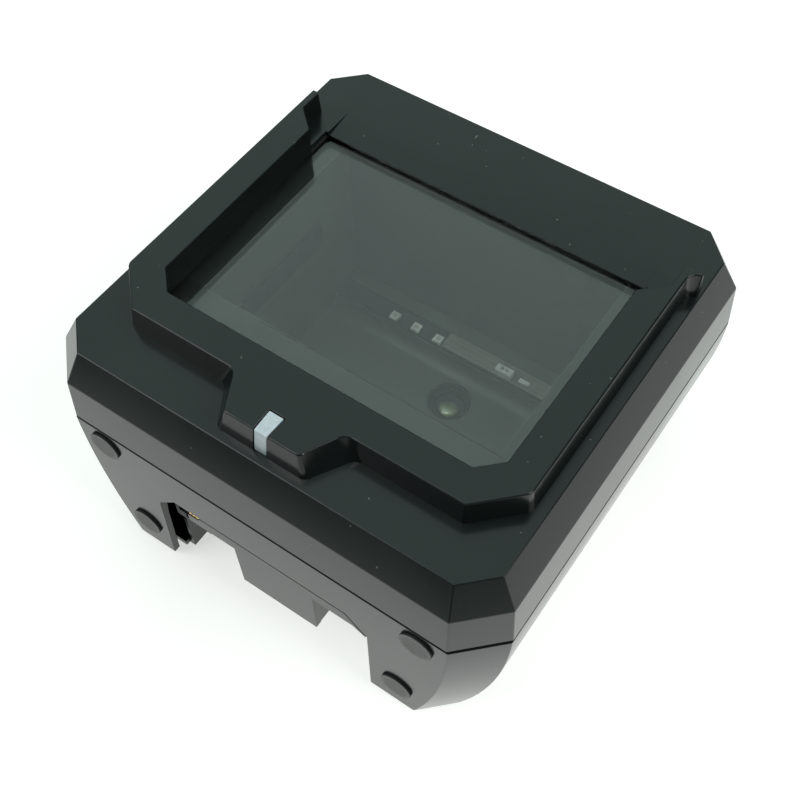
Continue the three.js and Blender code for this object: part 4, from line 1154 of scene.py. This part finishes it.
mottled("chip", "chip_epoxy", (0.010, 0.010, 0.012), (0.020, 0.020, 0.023), 500.0, 0.5, 0.65,
        0.00004, IOR=1.5)
mottled("led", "diode_body", (0.84, 0.84, 0.80), (0.90, 0.90, 0.87), 900.0, 0.35, 0.5, 0.00002,
        IOR=1.5)
mottled("white_plastic", "nylon", (0.78, 0.79, 0.76), (0.88, 0.89, 0.87), 300.0, 0.4, 0.55,
        0.00003, IOR=1.53, Subsurface_Weight=0.15, Subsurface_Radius=(0.001, 0.001, 0.001),
        Subsurface_Scale=1.0)
mottled("phosphor", "phosphor", (0.50, 0.50, 0.45), (0.60, 0.60, 0.54), 1500.0, 0.4, 0.6,
        0.00003, IOR=1.5)

# %% [markdown]
# The finishes go on by slot. New pieces take the finish of the slot that they were kept under,
# but for the tiles of the diodes. Each node of the engineering model that still shows takes the
# finish of its own row, and only three boards by the hood are black instead of green.

# %% Every piece gets its finish
BLACK_BOARDS = ("uv_board_left", "uv_board_right", "camera_board")

slot_of_node = {row["node"]: row["material_slot"] for row in frame["record"]["subparts"]}
for name, slot in finish_of_piece.items():
    mesh = bpy.data.objects[name].data
    mesh.materials.clear()
    mesh.materials.append(finishes[slot])
for name, item in frame["nodes"].items():
    for holder in item.material_slots:
        holder.material = finishes["dark_board" if name in BLACK_BOARDS else slot_of_node[name]]
print("nodes finished:", len(frame["nodes"]), "pieces finished:", len(finish_of_piece))

# %% [markdown]
# ## Floor, light and background
# The reader was photographed on white. A white paper floor under strong lamps would do, but then
# the lamps would also lighten the bevels. So the floor is a light table, brightest at the right of
# the reader and fading far in front, and it gives the upright walls their grey sheen.

# %% Floor
FLOOR_X, FLOOR_Y = 0.1, 0.2

bpy.ops.mesh.primitive_plane_add(size=1.3, location=(FLOOR_X, FLOOR_Y, 0))
floor = bpy.context.object
floor.name = "floor"
tree = new_finish("floor", "paper")


def distance(x, y):
    """Measures how far a place on the floor is from one point of the scene."""
    moved = spot(tree, location=(FLOOR_X - x, FLOOR_Y - y, 0))
    return node(tree, "VectorMath", operation="LENGTH", i0=moved).outputs["Value"]


wide = span(tree, distance(-0.1, 0.3), 0.66, 0.0, 0.55, 0.9)
peak = span(tree, distance(0.17, -0.02), 0.25, 0.0, 0.04, 0.22)
glow = blend(tree, math_of(tree, "ADD", wide, peak), (0, 0, 0), (0.915, 0.945, 0.905))
fibre = noise(tree, spot(tree), 60.0, 4.0)
shader(tree, Base_Color=blend(tree, fibre, (0.50, 0.50, 0.495), (0.53, 0.53, 0.525)),
       Roughness=span(tree, fibre, 0.8, 0.9), Emission_Color=glow, Emission_Strength=1.0)
floor.data.materials.append(finishes["floor"])

# %% [markdown]
# A large soft light behind on the left lies as a veil on the glass. Two more fill the sides, and
# a narrow one draws the edges of the frame. The bevels stay almost black, because little light
# comes level from the front. Every lamp is an area light, since a bare one would leave hard
# shadows that the photograph doesn't have.

# %% Soft lights
def softbox(name, place, target, width, height, power, colour=(1, 1, 1)):
    data = bpy.data.lights.new(name, "AREA")
    data.color = colour
    data.shape = "RECTANGLE"
    data.size, data.size_y = width, height
    data.energy = power
    lamp = bpy.data.objects.new(name, data)
    bpy.context.scene.collection.objects.link(lamp)
    lamp.location = place
    lamp.rotation_euler = (Vector(target) - lamp.location).to_track_quat("-Z", "Y").to_euler()
    print(name, "radiance", round(power / (math.pi * width * height), 2))


softbox("veil", (-0.34, 0.38, 0.95), (0, 0, 0.08), 1.3, 1.3, 5.1, (0.82, 1.0, 0.95))
softbox("right_light", (1.25, 0.15, 1.25), (0.05, 0, 0), 0.9, 0.9, 15)
softbox("left_light", (-0.9, -0.9, 1.1), (-0.05, -0.05, 0), 1.0, 1.0, 13)
softbox("edge_light", (-0.35, -0.04, 1.15), (0, 0, 0.08), 0.14, 0.5, 1.1)

# %% [markdown]
# Around the set lies a dim room, which the bevels mirror, while the camera itself sees white
# behind the reader. Colours are shown without a film curve, so that white stays white.

# %% World and colour
world = bpy.data.worlds.new("studio")
bpy.context.scene.world = world
world.use_nodes = True
sky = world.node_tree
seen = node(sky, "LightPath").outputs["Is Camera Ray"]
room = blend(sky, seen, (0.06, 0.085, 0.085), (1, 1, 1))
fill(sky, sky.nodes["Background"].inputs["Color"], room)
bpy.context.scene.view_settings.view_transform = "Standard"
print("shown as:", bpy.context.scene.view_settings.view_transform)

# %% json, imported once more
import json
